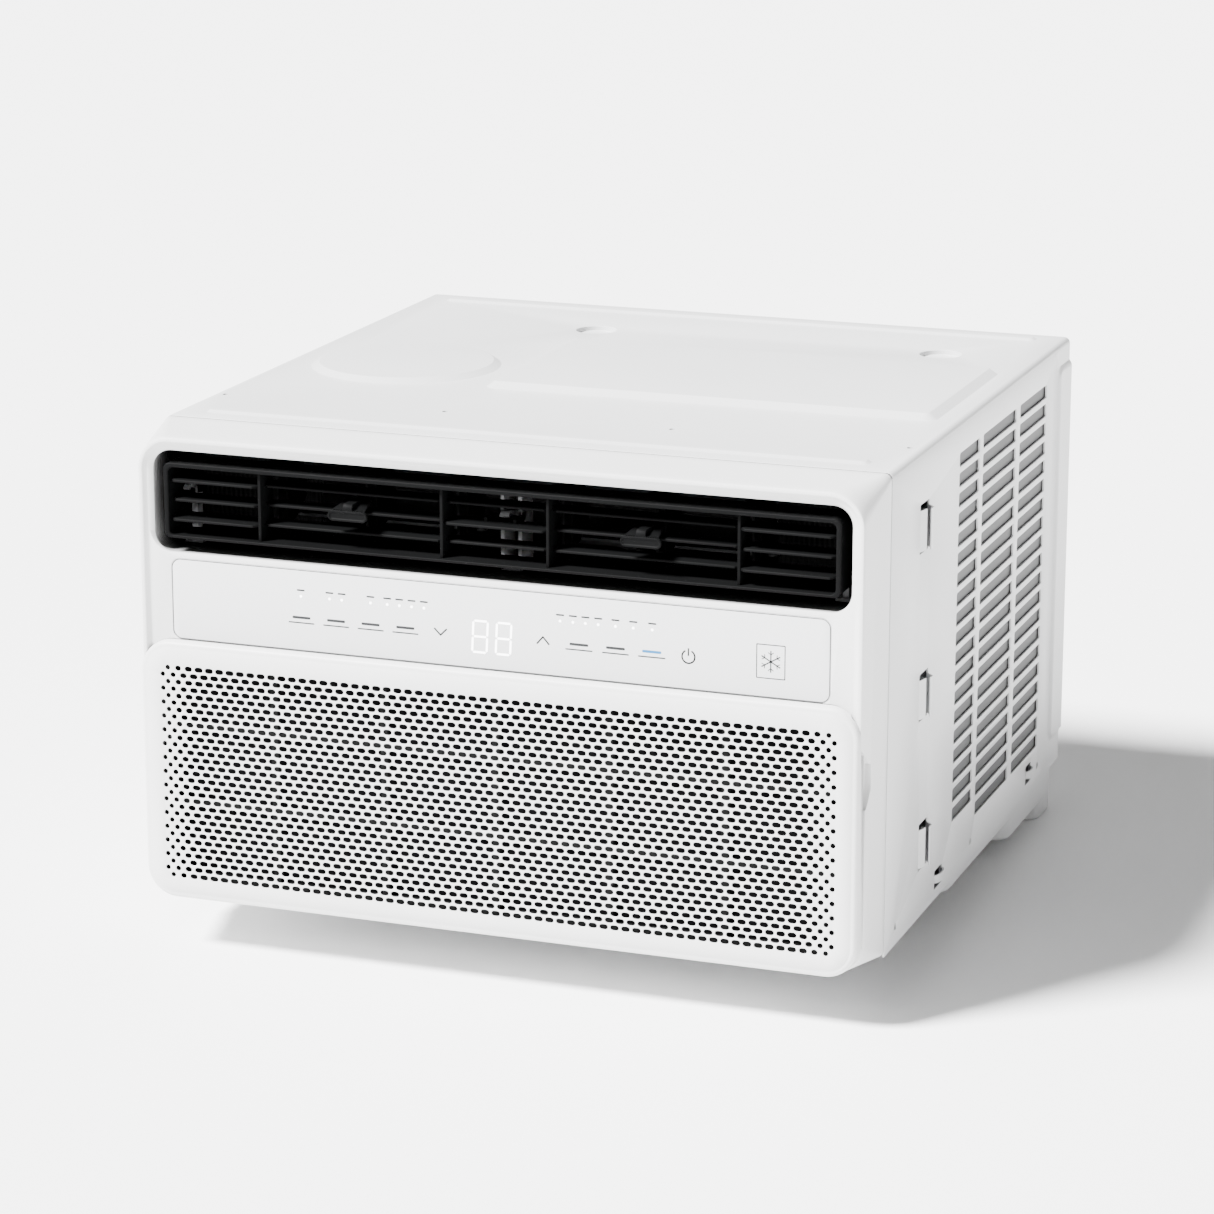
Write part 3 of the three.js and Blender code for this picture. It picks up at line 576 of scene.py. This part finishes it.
def make_cabinet():
    top = make_cabinet_top().join(make_cabinet_side())
    top.piece("cabinet_skin", "cabinet", "painted_sheet", LOOKS["coat"], ["cabinet_shell"], angle=30)


PAN_STEPS = ((2, 0), (146, -8), (301, -21), (386, -33))
PAN_REAR = 424.0


PAN_NOTCHES = ((20, 28), (109, 133), (195, 203), (339.5, 360), (371, 379))


def pan_outline(front, inset):
    """The pan's plan at one height, with points where the notches in its side walls begin and end."""
    x = 233.2 - inset
    rear = PAN_REAR - inset
    near = front + inset
    side = [y + nudge for notch in PAN_NOTCHES for y in notch for nudge in (-0.05, 0.05) if y > front + 13]

    def corner(u, v, radius, start):
        turn = [math.radians(start + 90 * i / 8) for i in range(9)]
        return [(u + radius * math.cos(a), v + radius * math.sin(a)) for a in turn]

    tight, wide = max(7 - inset, 0.5), max(12 - inset, 0.5)
    points = corner(x - wide, near + wide, wide, 270)
    points += [(x, v) for v in side]
    points += corner(x - tight, rear - tight, tight, 0)
    points += corner(-x + tight, rear - tight, tight, 90)
    points += [(-x, v) for v in reversed(side)]
    points += corner(-x + wide, near + wide, wide, 180)
    return points


def make_pan():
    form = Form()
    above = 24
    for level, (front, bottom) in enumerate(PAN_STEPS):
        lip = 0.04 * level
        loops = []
        for height, inset in (
            (above, 0), (bottom + 3, 0), (bottom + 1.2, 0.35), (bottom + 0.35, 1.2), (bottom, 3),
        ):
            loops.append([(u, v, height) for u, v in pan_outline(front, inset + lip)])
        if level == 0:
            notched = [any(y0 < v < y1 for y0, y1 in PAN_NOTCHES) and abs(u) > 233 for u, v, _ in loops[0]]
            loops[0] = [(u, v, 4 if low else z) for (u, v, z), low in zip(loops[0], notched)]
        form.loft(loops, caps=(False, True))
        above = bottom + 3.5
    form.piece("stepped_pan", "cabinet", "painted_sheet", LOOKS["coat"], ["base_pan"])


def make_rear_guard():
    form = Form()
    openings = []
    for column in range(5):
        for row in range(22):
            x = -214.5 + column * 87
            z = 12 + row * 12.6
            openings.append(window(x, x + 81, z, z + 8.6, 2.5, 4))
    form.plate(window(-232.5, 232.5, 2, 297, 3, 4), openings,
               lambda x, z, depth: (x, 428.6 - depth, z), 1.4, edge=0.4)
    form.piece("rear_guard_plate", "cabinet", "painted_sheet", LOOKS["coat"], ["rear_guard"])


# ---------------------------------------------------------------- front bezel and panel

RIM = -47.0
FACE = -44.5
PANEL_FRONT = -51.0


def bezel_outline(y, inset):
    t = min(max(-y / 47, 0), 1)
    x = HALF - 2.8 * t - inset
    radius = max(4 + 17 * t - inset, 0.6)
    return [(u, y, v) for u, v in rounded(-x, x, 0.3 + 1.5 * t + inset, TOP - 3 * t - inset, radius, 14)]


def cutter(name, form):
    mesh = bpy.data.meshes.new(name)
    mesh.from_pydata([metres(*point) for point in form.points], [], form.faces)
    shaped = bmesh.new()
    shaped.from_mesh(mesh)
    bmesh.ops.recalc_face_normals(shaped, faces=shaped.faces)
    shaped.to_mesh(mesh)
    shaped.free()
    thing = bpy.data.objects.new(name, mesh)
    bpy.context.scene.collection.objects.link(thing)
    return thing


def prism_y(outline, y0, y1):
    return Form().loft([[(u, y, v) for u, v in outline] for y in (y0, y1)])


def prism_x(outline, x0, x1):
    return Form().loft([[(x, u, v) for u, v in outline] for x in (x0, x1)])


def carve(thing, forms):
    """Subtracts each form from the piece, and leaves a plain mesh."""
    tools = []
    for i, form in enumerate(forms):
        tool = cutter(f"tool_{i}", form)
        tools.append(tool)
        cut = thing.modifiers.new(f"cut_{i}", "BOOLEAN")
        cut.operation = "DIFFERENCE"
        cut.solver = "EXACT"
        cut.object = tool
    depsgraph = bpy.context.evaluated_depsgraph_get()
    carved = bpy.data.meshes.new_from_object(thing.evaluated_get(depsgraph))
    thing.modifiers.clear()
    old = thing.data
    thing.data = carved
    bpy.data.meshes.remove(old)
    for tool in tools:
        bpy.data.objects.remove(tool)


def soften(thing, width, angle=38, segments=2):
    """Rounds the piece's sharp edges."""
    bevel = thing.modifiers.new("soft_edges", "BEVEL")
    bevel.width = width / 1000
    bevel.segments = segments
    bevel.limit_method = "ANGLE"
    bevel.angle_limit = math.radians(angle)
    bevel.use_clamp_overlap = True
    depsgraph = bpy.context.evaluated_depsgraph_get()
    softened = bpy.data.meshes.new_from_object(thing.evaluated_get(depsgraph))
    thing.modifiers.clear()
    old = thing.data
    thing.data = softened
    bpy.data.meshes.remove(old)
    softened.polygons.foreach_set("use_smooth", [True] * len(softened.polygons))
    softened.set_sharp_from_angle(angle=math.radians(35))


def make_bezel():
    form = Form()
    lip = ((FACE, 6.2), (-44.6, 5.5), (-44.9, 5.0), (-46.4, 3.3), (-46.8, 2.9), (RIM, 2.3),
           (RIM, 1.1), (-46.8, 0.5), (-46.2, 0.12))
    chain = [[(u, y, v) for u, _, v in bezel_outline(RIM, inset)] for y, inset in lip]
    chain += [bezel_outline(y, 0) for y in (-45, -39, -32, -24, -16, -8, -1.9)]
    chain += [bezel_outline(-1.5, 0.15), bezel_outline(-1.3, 0.6)]
    chain += [bezel_outline(y, 2.5) for y in (-1.3, -8, -18, -28, -38, -42.2)]
    form.loft(chain)
    thing = form.piece("bezel_moulding", "cabinet", "white_plastic", LOOKS["white"], ["front_bezel"])
    notch = [(-38.9, 137.6), (-29.4, 130.6), (-29.4, 115.1), (-36.9, 104.6), (-38.9, 104.6)]
    place = [(-60, -5), (-37.8, -5), (-37.8, 6), (-38.8, 6), (-38.8, 137.6), (-51.6, 147), (-60, 147)]
    flare = Form().loft([
        [(u, y, v) for u, v in rounded(-223.5 - grow, 223.5 + grow, 224.4, 288 + grow, 12 + grow, 12)]
        for y, grow in ((-60, 19.8), (-42, 0), (-30, 0))
    ])
    carve(thing, [
        flare,
        prism_y(rounded(-212.35, 212.35, 169.15, 221.05, 6.3, 8), -60, -43.9),
        prism_x(place, -240, 240),
        prism_y(rounded(-229.2, 229.2, -10, 169.3, 17.5, 12), -60, -38.8),
        prism_x(notch, 228.5, 240),
        prism_x(notch, -240, -228.5),
    ])
    soften(thing, 0.45)
    # Painted shadow: a dark rubber strip set in the joint between bezel and cabinet, standing in for the shade
    # inside the gap.
    seam = Form()
    seam.loft([bezel_outline(y, 0.9) for y in (-1.5, -0.2)], caps=(False, False))
    seam.piece("bezel_seam", "cabinet", "rubber", LOOKS["rubber"])
    cups = Form()
    pocket = outline_of([(-38.7, 136.6), (-30, 130.2), (-30, 115.6), (-36.8, 106), (-38.7, 106)])
    steps = ((231.6, 0.9), (230.6, 0.9), (229.2, 0.7), (228.7, 0.2), (228.6, -0.6))
    cups.loft([[(x, u, v) for u, v in pocket(grow)] for x, grow in steps], caps=(False, True))
    cups.mirrored().piece("finger_notch_cups", "cabinet", "white_plastic", LOOKS["white"])


def pill(cx, cz, half_width, half_height, count=4):
    def grown(grow):
        radius = half_height + grow
        reach = max(half_width - half_height, 0)
        points = []
        for sign, start in ((1, -90), (-1, 90)):
            for i in range(count + 1):
                angle = math.radians(start + 180 * i / count)
                points.append((cx + sign * reach + radius * math.cos(angle), cz + radius * math.sin(angle)))
        return points

    return grown


def grille_holes():
    """Staggered rows of pills that shrink to small round holes at both ends of each row."""
    holes = []
    for row in range(31):
        z = 152.2 - 4.5 * row
        for i in range(1 - row % 2, 125, 2):
            x = (i - 62) * 3.5
            from_end = min(i, 124 - i) / 2
            half_width = 1.7 + 1.2 * smooth((from_end - 0.2) / 3.4)
            if from_end < 0.8:
                half_width = 1.7
            holes.append(pill(x, z, half_width, 1.7))
    return holes


def make_grille():
    form = Form()

    def outline(y, inset):
        ring = rounded(-232.2 + inset, 232.2 - inset, 1.8 + inset, 169 - inset, 20 - inset, 14)
        return [(u, y, v) for u, v in ring]

    def rear_edge(point):
        x, _, z = point
        if z < 137.6:
            y = -39.1
        elif abs(x) > 226:
            y = min(-39.1 - (z - 137.6) * 1.33, -39.1)
            y = max(y, -47.3)
        else:
            y = -44.7
        return (x, y, z)

    back = [rear_edge(point) for point in outline(0, 0)]
    inner_back = [(x, y, z) for (x, _, z), (_, y, _) in zip(outline(0, 2.2), back)]
    skin = [inner_back, back]
    for y, inset in (
        (-47.5, 0), (-49.1, 0.3), (-50.1, 0.95), (-50.7, 1.9), (-50.95, 3.0), (PANEL_FRONT, 4.2),
    ):
        skin.append(outline(y, inset))
    form.loft(skin, caps=(False, False))
    form.plate(
        lambda grow: [(u, v) for u, _, v in outline(0, 4.2 - 0.1 - grow)], grille_holes(),
        lambda u, v, depth: (u, PANEL_FRONT + depth, v), 0.35, edge=0.1, back=False,
    )
    inner = [outline(-50.65, 4.2), outline(-49.4, 2.4), outline(-48.6, 2.2), inner_back]
    form.loft(inner, caps=(False, False))
    form.piece("grille_moulding", "grille_panel", "white_plastic", LOOKS["white"], ["front_grille"])


def make_overlay():
    form = Form()
    form.plate(window(-212, 212, 169.5, 220.7, 6, 10), [],
               lambda u, v, depth: (u, FACE - 0.05 + depth, v), 0.8, edge=0.2)
    form.piece("overlay_panel", "cabinet", "overlay", LOOKS["overlay"], ["control_overlay"])


def flat_print(form, outline):
    """A thin layer of ink on the overlay."""
    front = FACE - 0.11
    form.loft([[(u, y, v) for u, v in outline] for y in (front + 0.08, front)], caps=(False, True))


def stroke(form, points, width):
    """An ink line of even width through the points."""
    for (u0, v0), (u1, v1) in zip(points, points[1:]):
        along = Vector((u1 - u0, v1 - v0)).normalized()
        side = Vector((-along.y, along.x)) * width / 2
        tip = along * width * 0.35
        flat_print(form, [
            (u0 - side.x - tip.x, v0 - side.y - tip.y), (u1 - side.x + tip.x, v1 - side.y + tip.y),
            (u1 + side.x + tip.x, v1 + side.y + tip.y), (u0 + side.x - tip.x, v0 + side.y - tip.y),
        ])


BARS = (
    (-133.7, -116.5), (-110.7, -93.5), (-87.9, -70.7), (-65, -47.9), (46.9, 64.2), (70.2, 87.2), (92.9, 110.2),
)
LAMPS = (
    -125.2, -106.2, -98.1, -79.1, -68.1, -60.2, -52.2, -44.1, 43.6, 51.8, 59.7, 67.8, 78.7, 89.9, 101.8,
)


def make_prints():
    grey, white, blue = Form(), Form(), Form()
    for left, right in BARS:
        flat_print(grey, rounded(left, right, 186.8, 187.6, 0.35, 2))
        middle = (left + right) / 2
        flat_print(blue if left > 90 else grey, rounded(middle - 6, middle + 6, 189.7, 191.3, 0.6, 2))
    for x in LAMPS:
        flat_print(white, circle(x, 204, 0.85, 14)(0))
        flat_print(grey, rounded(x - 2.6, x + 2.6, 207.3, 208.3, 0.4, 2))
    stroke(grey, [(-37.3, 192), (-33.45, 188.2), (-29.6, 192)], 1.0)
    stroke(grey, [(28.9, 188.9), (32.65, 193.2), (36.4, 188.9)], 1.0)
    arc = [(124.5 + 4 * math.sin(a), 189.7 + 4 * math.cos(a))
           for a in (math.radians(32 + 296 * i / 24) for i in range(25))]
    stroke(grey, arc, 0.95)
    stroke(grey, [(124.5, 190.5), (124.5, 194.6)], 0.95)
    # The first ring is painted shade: a grey line just inside the overlay's edge, standing in for the shade at
    # that edge. The second is the printed frame round the snowflake mark.
    edge_shade_outline = window(-212, 212, 169.5, 220.7, 6, 10)
    for outer, inner in (
        (edge_shade_outline(-0.15), edge_shade_outline(-0.6)),
        (rounded(166.5, 184.5, 181, 202, 0.4, 2), rounded(167.1, 183.9, 181.6, 201.4, 0.3, 2)),
    ):
        loops = [[(u, FACE - 0.11, v) for u, v in loop] for loop in (outer, inner)]
        grey.join(Form().loft(loops, caps=(False, False)))
    for turn in range(6):
        a = math.radians(30 + 60 * turn)
        tip = (175.5 + 6.4 * math.cos(a), 191.5 + 6.4 * math.sin(a))
        fork = (175.5 + 4.2 * math.cos(a), 191.5 + 4.2 * math.sin(a))
        stroke(grey, [(175.5, 191.5), tip], 0.75)
        for lean in (-0.9, 0.9):
            barb = (fork[0] + 2.0 * math.cos(a + lean), fork[1] + 2.0 * math.sin(a + lean))
            stroke(grey, [fork, barb], 0.45)
    for left in (-13, 2.2):
        seven_segment(white, left, 179.1, 10.3, 20.8)
    grey.piece("overlay_marks", "cabinet", "overlay", LOOKS["print_grey"])
    blue.piece("overlay_blue_mark", "cabinet", "overlay", LOOKS["print_blue"])
    white.piece("overlay_lamps_and_digits", "cabinet", "overlay", LOOKS["white_print_and_glow"])


def seven_segment(form, left, bottom, width, height):
    """One digit with all seven bars, leaning slightly."""
    bar, gap = 1.3, 0.35
    middle = bottom + height / 2
    top = bottom + height

    def lean(u, v):
        return (u + (v - bottom) * 0.05, v)

    def level(v):
        u0, u1 = left + gap, left + width - gap - 1
        flat_print(form, [lean(u0, v), lean(u0 + bar / 2, v - bar / 2), lean(u1 - bar / 2, v - bar / 2),
                          lean(u1, v), lean(u1 - bar / 2, v + bar / 2), lean(u0 + bar / 2, v + bar / 2)])

    def upright(u, v0, v1):
        flat_print(form, [lean(u, v0), lean(u + bar / 2, v0 + bar / 2), lean(u + bar / 2, v1 - bar / 2),
                          lean(u, v1), lean(u - bar / 2, v1 - bar / 2), lean(u - bar / 2, v0 + bar / 2)])

    for v in (bottom + bar / 2, middle, top - bar / 2):
        level(v)
    for u in (left, left + width - 1):
        upright(u, bottom + bar / 2 + gap, middle - gap)
        upright(u, middle + gap, top - bar / 2 - gap)


# ---------------------------------------------------------------- outlet and louvres

FRAME_X = 217.0
DIVIDERS = (-153.8, -34.1, 34.1, 153.8)
VANES = (-154, -94, -34, 34, 94, 154)
TILT = (-19.0, 257.5)


def make_duct():
    form = Form()
    loops = []
    for y, grow, radius in ((-42.05, 0, 12), (-39, 0.6, 11.4), (-30, 1.2, 10), (-20, 1.4, 9), (34, 1.4, 9)):
        ring = rounded(-223.6 - grow, 223.6 + grow, 224.3 - grow, 288.1 + grow, radius, 10)
        loops.append([(u, y, v) for u, v in ring])
    form.loft(loops, caps=(False, False))
    outer = [[(u, y, v) for u, v in rounded(-226.4, 226.4, 221.5, 291.1, 10, 10)] for y in (-41.5, 34)]
    form.loft(outer, caps=(False, False))
    form.plate(lambda grow: [(u, v) for u, _, v in outer[-1]], [window(-145, 155, 226, 286.5, 4, 4)],
               lambda u, v, depth: (u, 32.8 + depth, v), 1.3, edge=0.3)
    form.piece("duct_liner", "cabinet", "duct_plastic", LOOKS["duct"], ["outlet_duct"])


def blade_plan(forward, back, columns):
    """Plan of one blade: straight rear edge, and a front edge that steps at the dividers."""
    edges = [-214, *DIVIDERS, 214]
    points = []
    for i, kind in enumerate(columns):
        front = forward if kind == "F" else back
        left, right = edges[i], edges[i + 1]
        slope = 3.0
        points += [(left + 0.9, front + slope), (left + 0.9 + slope, front),
                   (right - 0.9 - slope, front), (right - 0.9, front + slope)]
    points += [(214, -21), (-214, -21)]
    return points


def make_louvre_frame():
    form = Form()
    section = (
        (-19, 0), (-19, 3.2), (-42.4, 3.2), (-42.8, 2.9), (-43, 2.4), (-43, 0.8), (-42.8, 0.3), (-42.4, 0),
    )
    loops = []
    for y, inset in section:
        part = inset / 3.2
        loops.append([(u, y, v) for u, v in rounded(
            -FRAME_X + inset, FRAME_X - inset, 233 + 1.8 * part, 280.3 - 2.8 * part, 4.5 - 1.2 * part, 8)])
    form.loft(loops, ring=True)
    for x in DIVIDERS:
        form.plate(window(-40, -21, 234.2, 278, 0.8, 3), [],
                   lambda u, v, depth, x=x: (x + 0.9 - depth, u, v), 1.8, edge=0.35)
    for z, forward, back, columns in ((269, -42.3, -36, "FBBBF"), (256.5, -40, -33.3, "FBFBF"),
                                      (244.5, -42.3, -36, "FBBBF")):
        plan = outline_of(blade_plan(forward, back, columns))
        steps = [(0.7, 0), (0.25, 0.25), (0, 0.7)]
        form.plate(plan, [], lambda u, v, depth, z=z: (u, v, z + 0.8 - depth), 1.6, edge=0.7, steps=steps)
    for vane in VANES:
        for low in (232.9, 278):
            form.plate(window(vane - 4, vane + 4, -20, 4, 2, 4), [circle(vane, 0, 1.7, 14)],
                       lambda u, v, depth, low=low: (u, v, low + 1.7 - depth), 1.7, edge=0.25)
    for side in (-1, 1):
        form.turned([(0.1, 207.5), (1.8, 207.5), (2.2, 207.9), (2.2, 215)] if side > 0 else
                    [(2.2, -215), (2.2, -207.9), (1.8, -207.5), (0.1, -207.5)], (0, *TILT), "x", 16)
        form.block(*sorted((side * 213.9, side * 216.5)), -22, -15.5, 253.5, 261.5, 0.5)
    for x0, x1 in ((-10.5, -8.3), (8.3, 10.5)):
        form.block(x0, x1, -30, -16.5, 255, 260, 0.4)
    form.turned([(2.2, -9), (2.2, 9)], (0, *TILT), "x", 16)
    form.piece("louvre_moulding", "louvre", "dark_plastic", LOOKS["dark"], ["louver_frame"])


def make_vanes():
    plan = [(-13, 237.4), (-11.4, 236), (8, 236.4), (14, 238.4), (20, 241.8), (25, 245), (28.6, 247.6),
            (30, 250), (30, 265), (28.4, 268.4), (24, 271.5), (16, 274.8), (8, 276.5),
            (-11.6, 276.5), (-13, 275)]
    for i, x in enumerate(VANES):
        form = Form()
        form.plate(outline_of(plan), [], lambda u, v, depth, x=x: (x + 0.8 - depth, u, v), 1.6, edge=0.5)
        form.turned([(0.1, 232.4), (1.4, 232.4), (1.5, 232.8), (1.5, 280.2), (0.1, 280.4)],
                    (x, 0, 0), "z", 16)
        form.turned([(1, 235), (2.8, 235), (3, 235.3), (3, 237), (1, 237.3)], (x, 0, 0), "z", 20)
        form.turned([(0.1, 237.5), (1.1, 237.5), (1.2, 237.8), (1.2, 245)], (x, 22, 0), "z", 12)
        form.piece(f"vane_blade_{i + 1}", f"vane_{i + 1}_body", "dark_plastic", LOOKS["dark"],
                   [f"vane_{i + 1}"])
        cap = Form().turned([(0.1, 237.35), (1.9, 237.35), (2.1, 237.6), (2.1, 238.3), (1.8, 238.6),
                            (0.1, 238.6)],
                            (x, 0, 0), "z", 20)
        cap.piece(f"vane_pin_{i + 1}", f"vane_{i + 1}_body", "clip_plastic", LOOKS["clip"])
    for name, middle in (("left", -94), ("right", 94)):
        link = Form()
        holes = [circle(middle + step, 22, 1.45, 12) for step in (-60, 0, 60)]
        link.plate(window(middle - 65, middle + 65, 18.5, 25.5, 3.3, 6), holes,
                   lambda u, v, depth: (u, v, 240 - depth), 1.8, edge=0.35)
        link.piece(f"vane_link_bar_{name}", f"link_{name}", "clip_plastic", LOOKS["link"],
                   [f"vane_link_{name}"])
        make_tab(name, middle)


def make_tab(name, middle):
    """Thumb tab: an oval with a raised rim and ridges, a sloping hood and a forked neck to the vane."""
    form = Form()
    loops = []
    for y, shrink in ((-41.6, 0.5), (-41.7, 0.1), (-42.2, 0), (-43.5, 0), (-43.9, 0.3), (-44, 0.7),
                      (-43.9, 1.1), (-43.5, 1.4), (-43.3, 2.0)):
        loops.append([(u, y, v) for u, v in pill(middle, 256.3, 13 - shrink, 3.3 - shrink, 14)(0)])
    form.loft(loops)
    for i in range(13):
        x = middle - 9 + 1.5 * i
        form.block(x - 0.4, x + 0.4, -43.4, -41.7, 258.6, 260.1, 0.25)
    hood = []
    for y, half, low, high, edge in (
        (-41.6, 10.6, 258.5, 259.5, 0.35), (-41.0, 10.8, 258.7, 259.9, 0.5), (-34, 9.6, 259.7, 261.4, 0.6),
        (-26, 8.2, 261.1, 263.2, 0.6), (-22.6, 7.2, 261.3, 263.3, 0.6), (-22.1, 6.6, 261.6, 263.0, 0.5),
    ):
        hood.append([(u, y, v) for u, v in rounded(middle - half, middle + half, low, high, edge, 3)])
    form.loft(hood)
    shaft = [
        (-43.2, 256), (-41.6, 256), (-41.2, 259.4), (-40.2, 260.7), (-14, 260.7), (-14, 263.7),
        (-41.2, 263.7), (-42.6, 262.6), (-43.2, 260.8),
    ]
    form.plate(outline_of(shaft), [], lambda u, v, depth: (middle + 3 - depth, u, v), 6, edge=0.5)
    for sign in (-1, 1):
        ends = sorted((middle + sign * 3, middle + sign * 1.1))
        form.block(*ends, -14.4, -8, 260.7, 263.7, 0.3)
    body = "vane_2_body" if middle < 0 else "vane_5_body"
    form.piece(f"thumb_pad_{name}", body, "dark_plastic", LOOKS["dark"], [f"thumb_tab_{name}"])


def clip_outline():
    """C-shaped clip round the pivot pin with its web, seen from the side."""
    cy, cz = TILT
    points = []
    for i in range(25):
        a = math.radians(158 - 316 * i / 24 + 180)
        points.append((cy + 5 * math.cos(a + math.pi), cz + 5 * math.sin(a + math.pi)))
    for i in range(25):
        a = math.radians(-(158 - 316 * i / 24) + 180)
        points.append((cy + 2.5 * math.cos(a + math.pi), cz + 2.5 * math.sin(a + math.pi)))
    return points


def make_brackets():
    for name, x in (("left", -211), ("right", 211)):
        form = Form()
        form.plate(outline_of(clip_outline()), [],
                   lambda u, v, depth, x=x: (x + 2 - depth, u, v), 4, edge=0.3)
        form.block(x - 2, x + 2, -14.4, -4, 254, 261, 0.5)
        form.block(x - 2, x + 2, -12, -4, 223.2, 260, 0.5)
        form.block(x - 6, x + 6, -14, 6, 223.2, 225.5, 0.5)
        form.piece(f"pivot_clip_{name}", "cabinet", "clip_plastic", LOOKS["clip"],
                   [f"pivot_bracket_{name}"])
    form = Form()
    form.plate(outline_of(clip_outline()), [], lambda u, v, depth: (3 - depth, u, v), 6, edge=0.3)
    form.block(-3, 3, -14.4, -6, 254, 261, 0.5)
    form.block(-7, 7, -12, -4, 254, 261, 0.5)
    form.block(-7, -4.4, -12, 7, 223.2, 272, 0.6)
    form.block(4.4, 7, -12, 7, 223.2, 272, 0.6)
    form.block(-7, 7, -12, 7, 223.2, 225.5, 0.5)
    form.piece("pivot_clip_centre", "cabinet", "clip_plastic", LOOKS["clip"], ["pivot_bracket_centre"])


# ---------------------------------------------------------------- stage


FLOOR_REACH = 14.0
SKY_STRENGTH = 0.45
SUN_STRENGTH = 24
SUN_ANGLE = 14
SUN_FROM = (-0.45, -0.45, 0.77)
LENS = 119.77
SENSOR_WIDTH = 36
CAMERA_PLACE = (864.13, -2217.13, 834.92)
CAMERA_TILT = 75
CAMERA_TURN = 20


def make_stage():
    floor_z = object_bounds()[0][2]
    mesh = bpy.data.meshes.new("floor")
    reach = FLOOR_REACH
    mesh.from_pydata([(-reach, -reach, floor_z), (reach, -reach, floor_z), (reach, reach, floor_z),
                      (-reach, reach, floor_z)], [], [[0, 1, 2, 3]])
    floor = bpy.data.objects.new("floor", mesh)
    bpy.context.scene.collection.objects.link(floor)
    mesh.materials.append(material("floor_white", (0.95, 0.95, 0.95), 0.7, mottle=0.0, specular=0.1))

    world = bpy.data.worlds.new("studio")
    bpy.context.scene.world = world
    world.use_nodes = True
    world.node_tree.nodes["Background"].inputs["Color"].default_value = (1, 1, 1, 1)
    world.node_tree.nodes["Background"].inputs["Strength"].default_value = SKY_STRENGTH

    data = bpy.data.lights.new("soft_key", "SUN")
    data.energy = SUN_STRENGTH
    data.angle = math.radians(SUN_ANGLE)
    key = bpy.data.objects.new("soft_key", data)
    key.rotation_euler = Vector(SUN_FROM).to_track_quat("Z", "Y").to_euler()
    bpy.context.scene.collection.objects.link(key)

    data = bpy.data.cameras.new("camera")
    data.lens = LENS
    data.sensor_width = SENSOR_WIDTH
    data.clip_end = 60
    camera = bpy.data.objects.new("camera", data)
    camera.location = metres(*CAMERA_PLACE)
    camera.rotation_euler = (math.radians(CAMERA_TILT), 0, math.radians(CAMERA_TURN))
    bpy.context.scene.collection.objects.link(camera)
    bpy.context.scene.camera = camera


dress_nodes()
make_cabinet()
make_pan()
make_rear_guard()
make_bezel()
make_grille()
make_overlay()
make_prints()
make_duct()
make_louvre_frame()
make_vanes()
make_brackets()
make_stage()
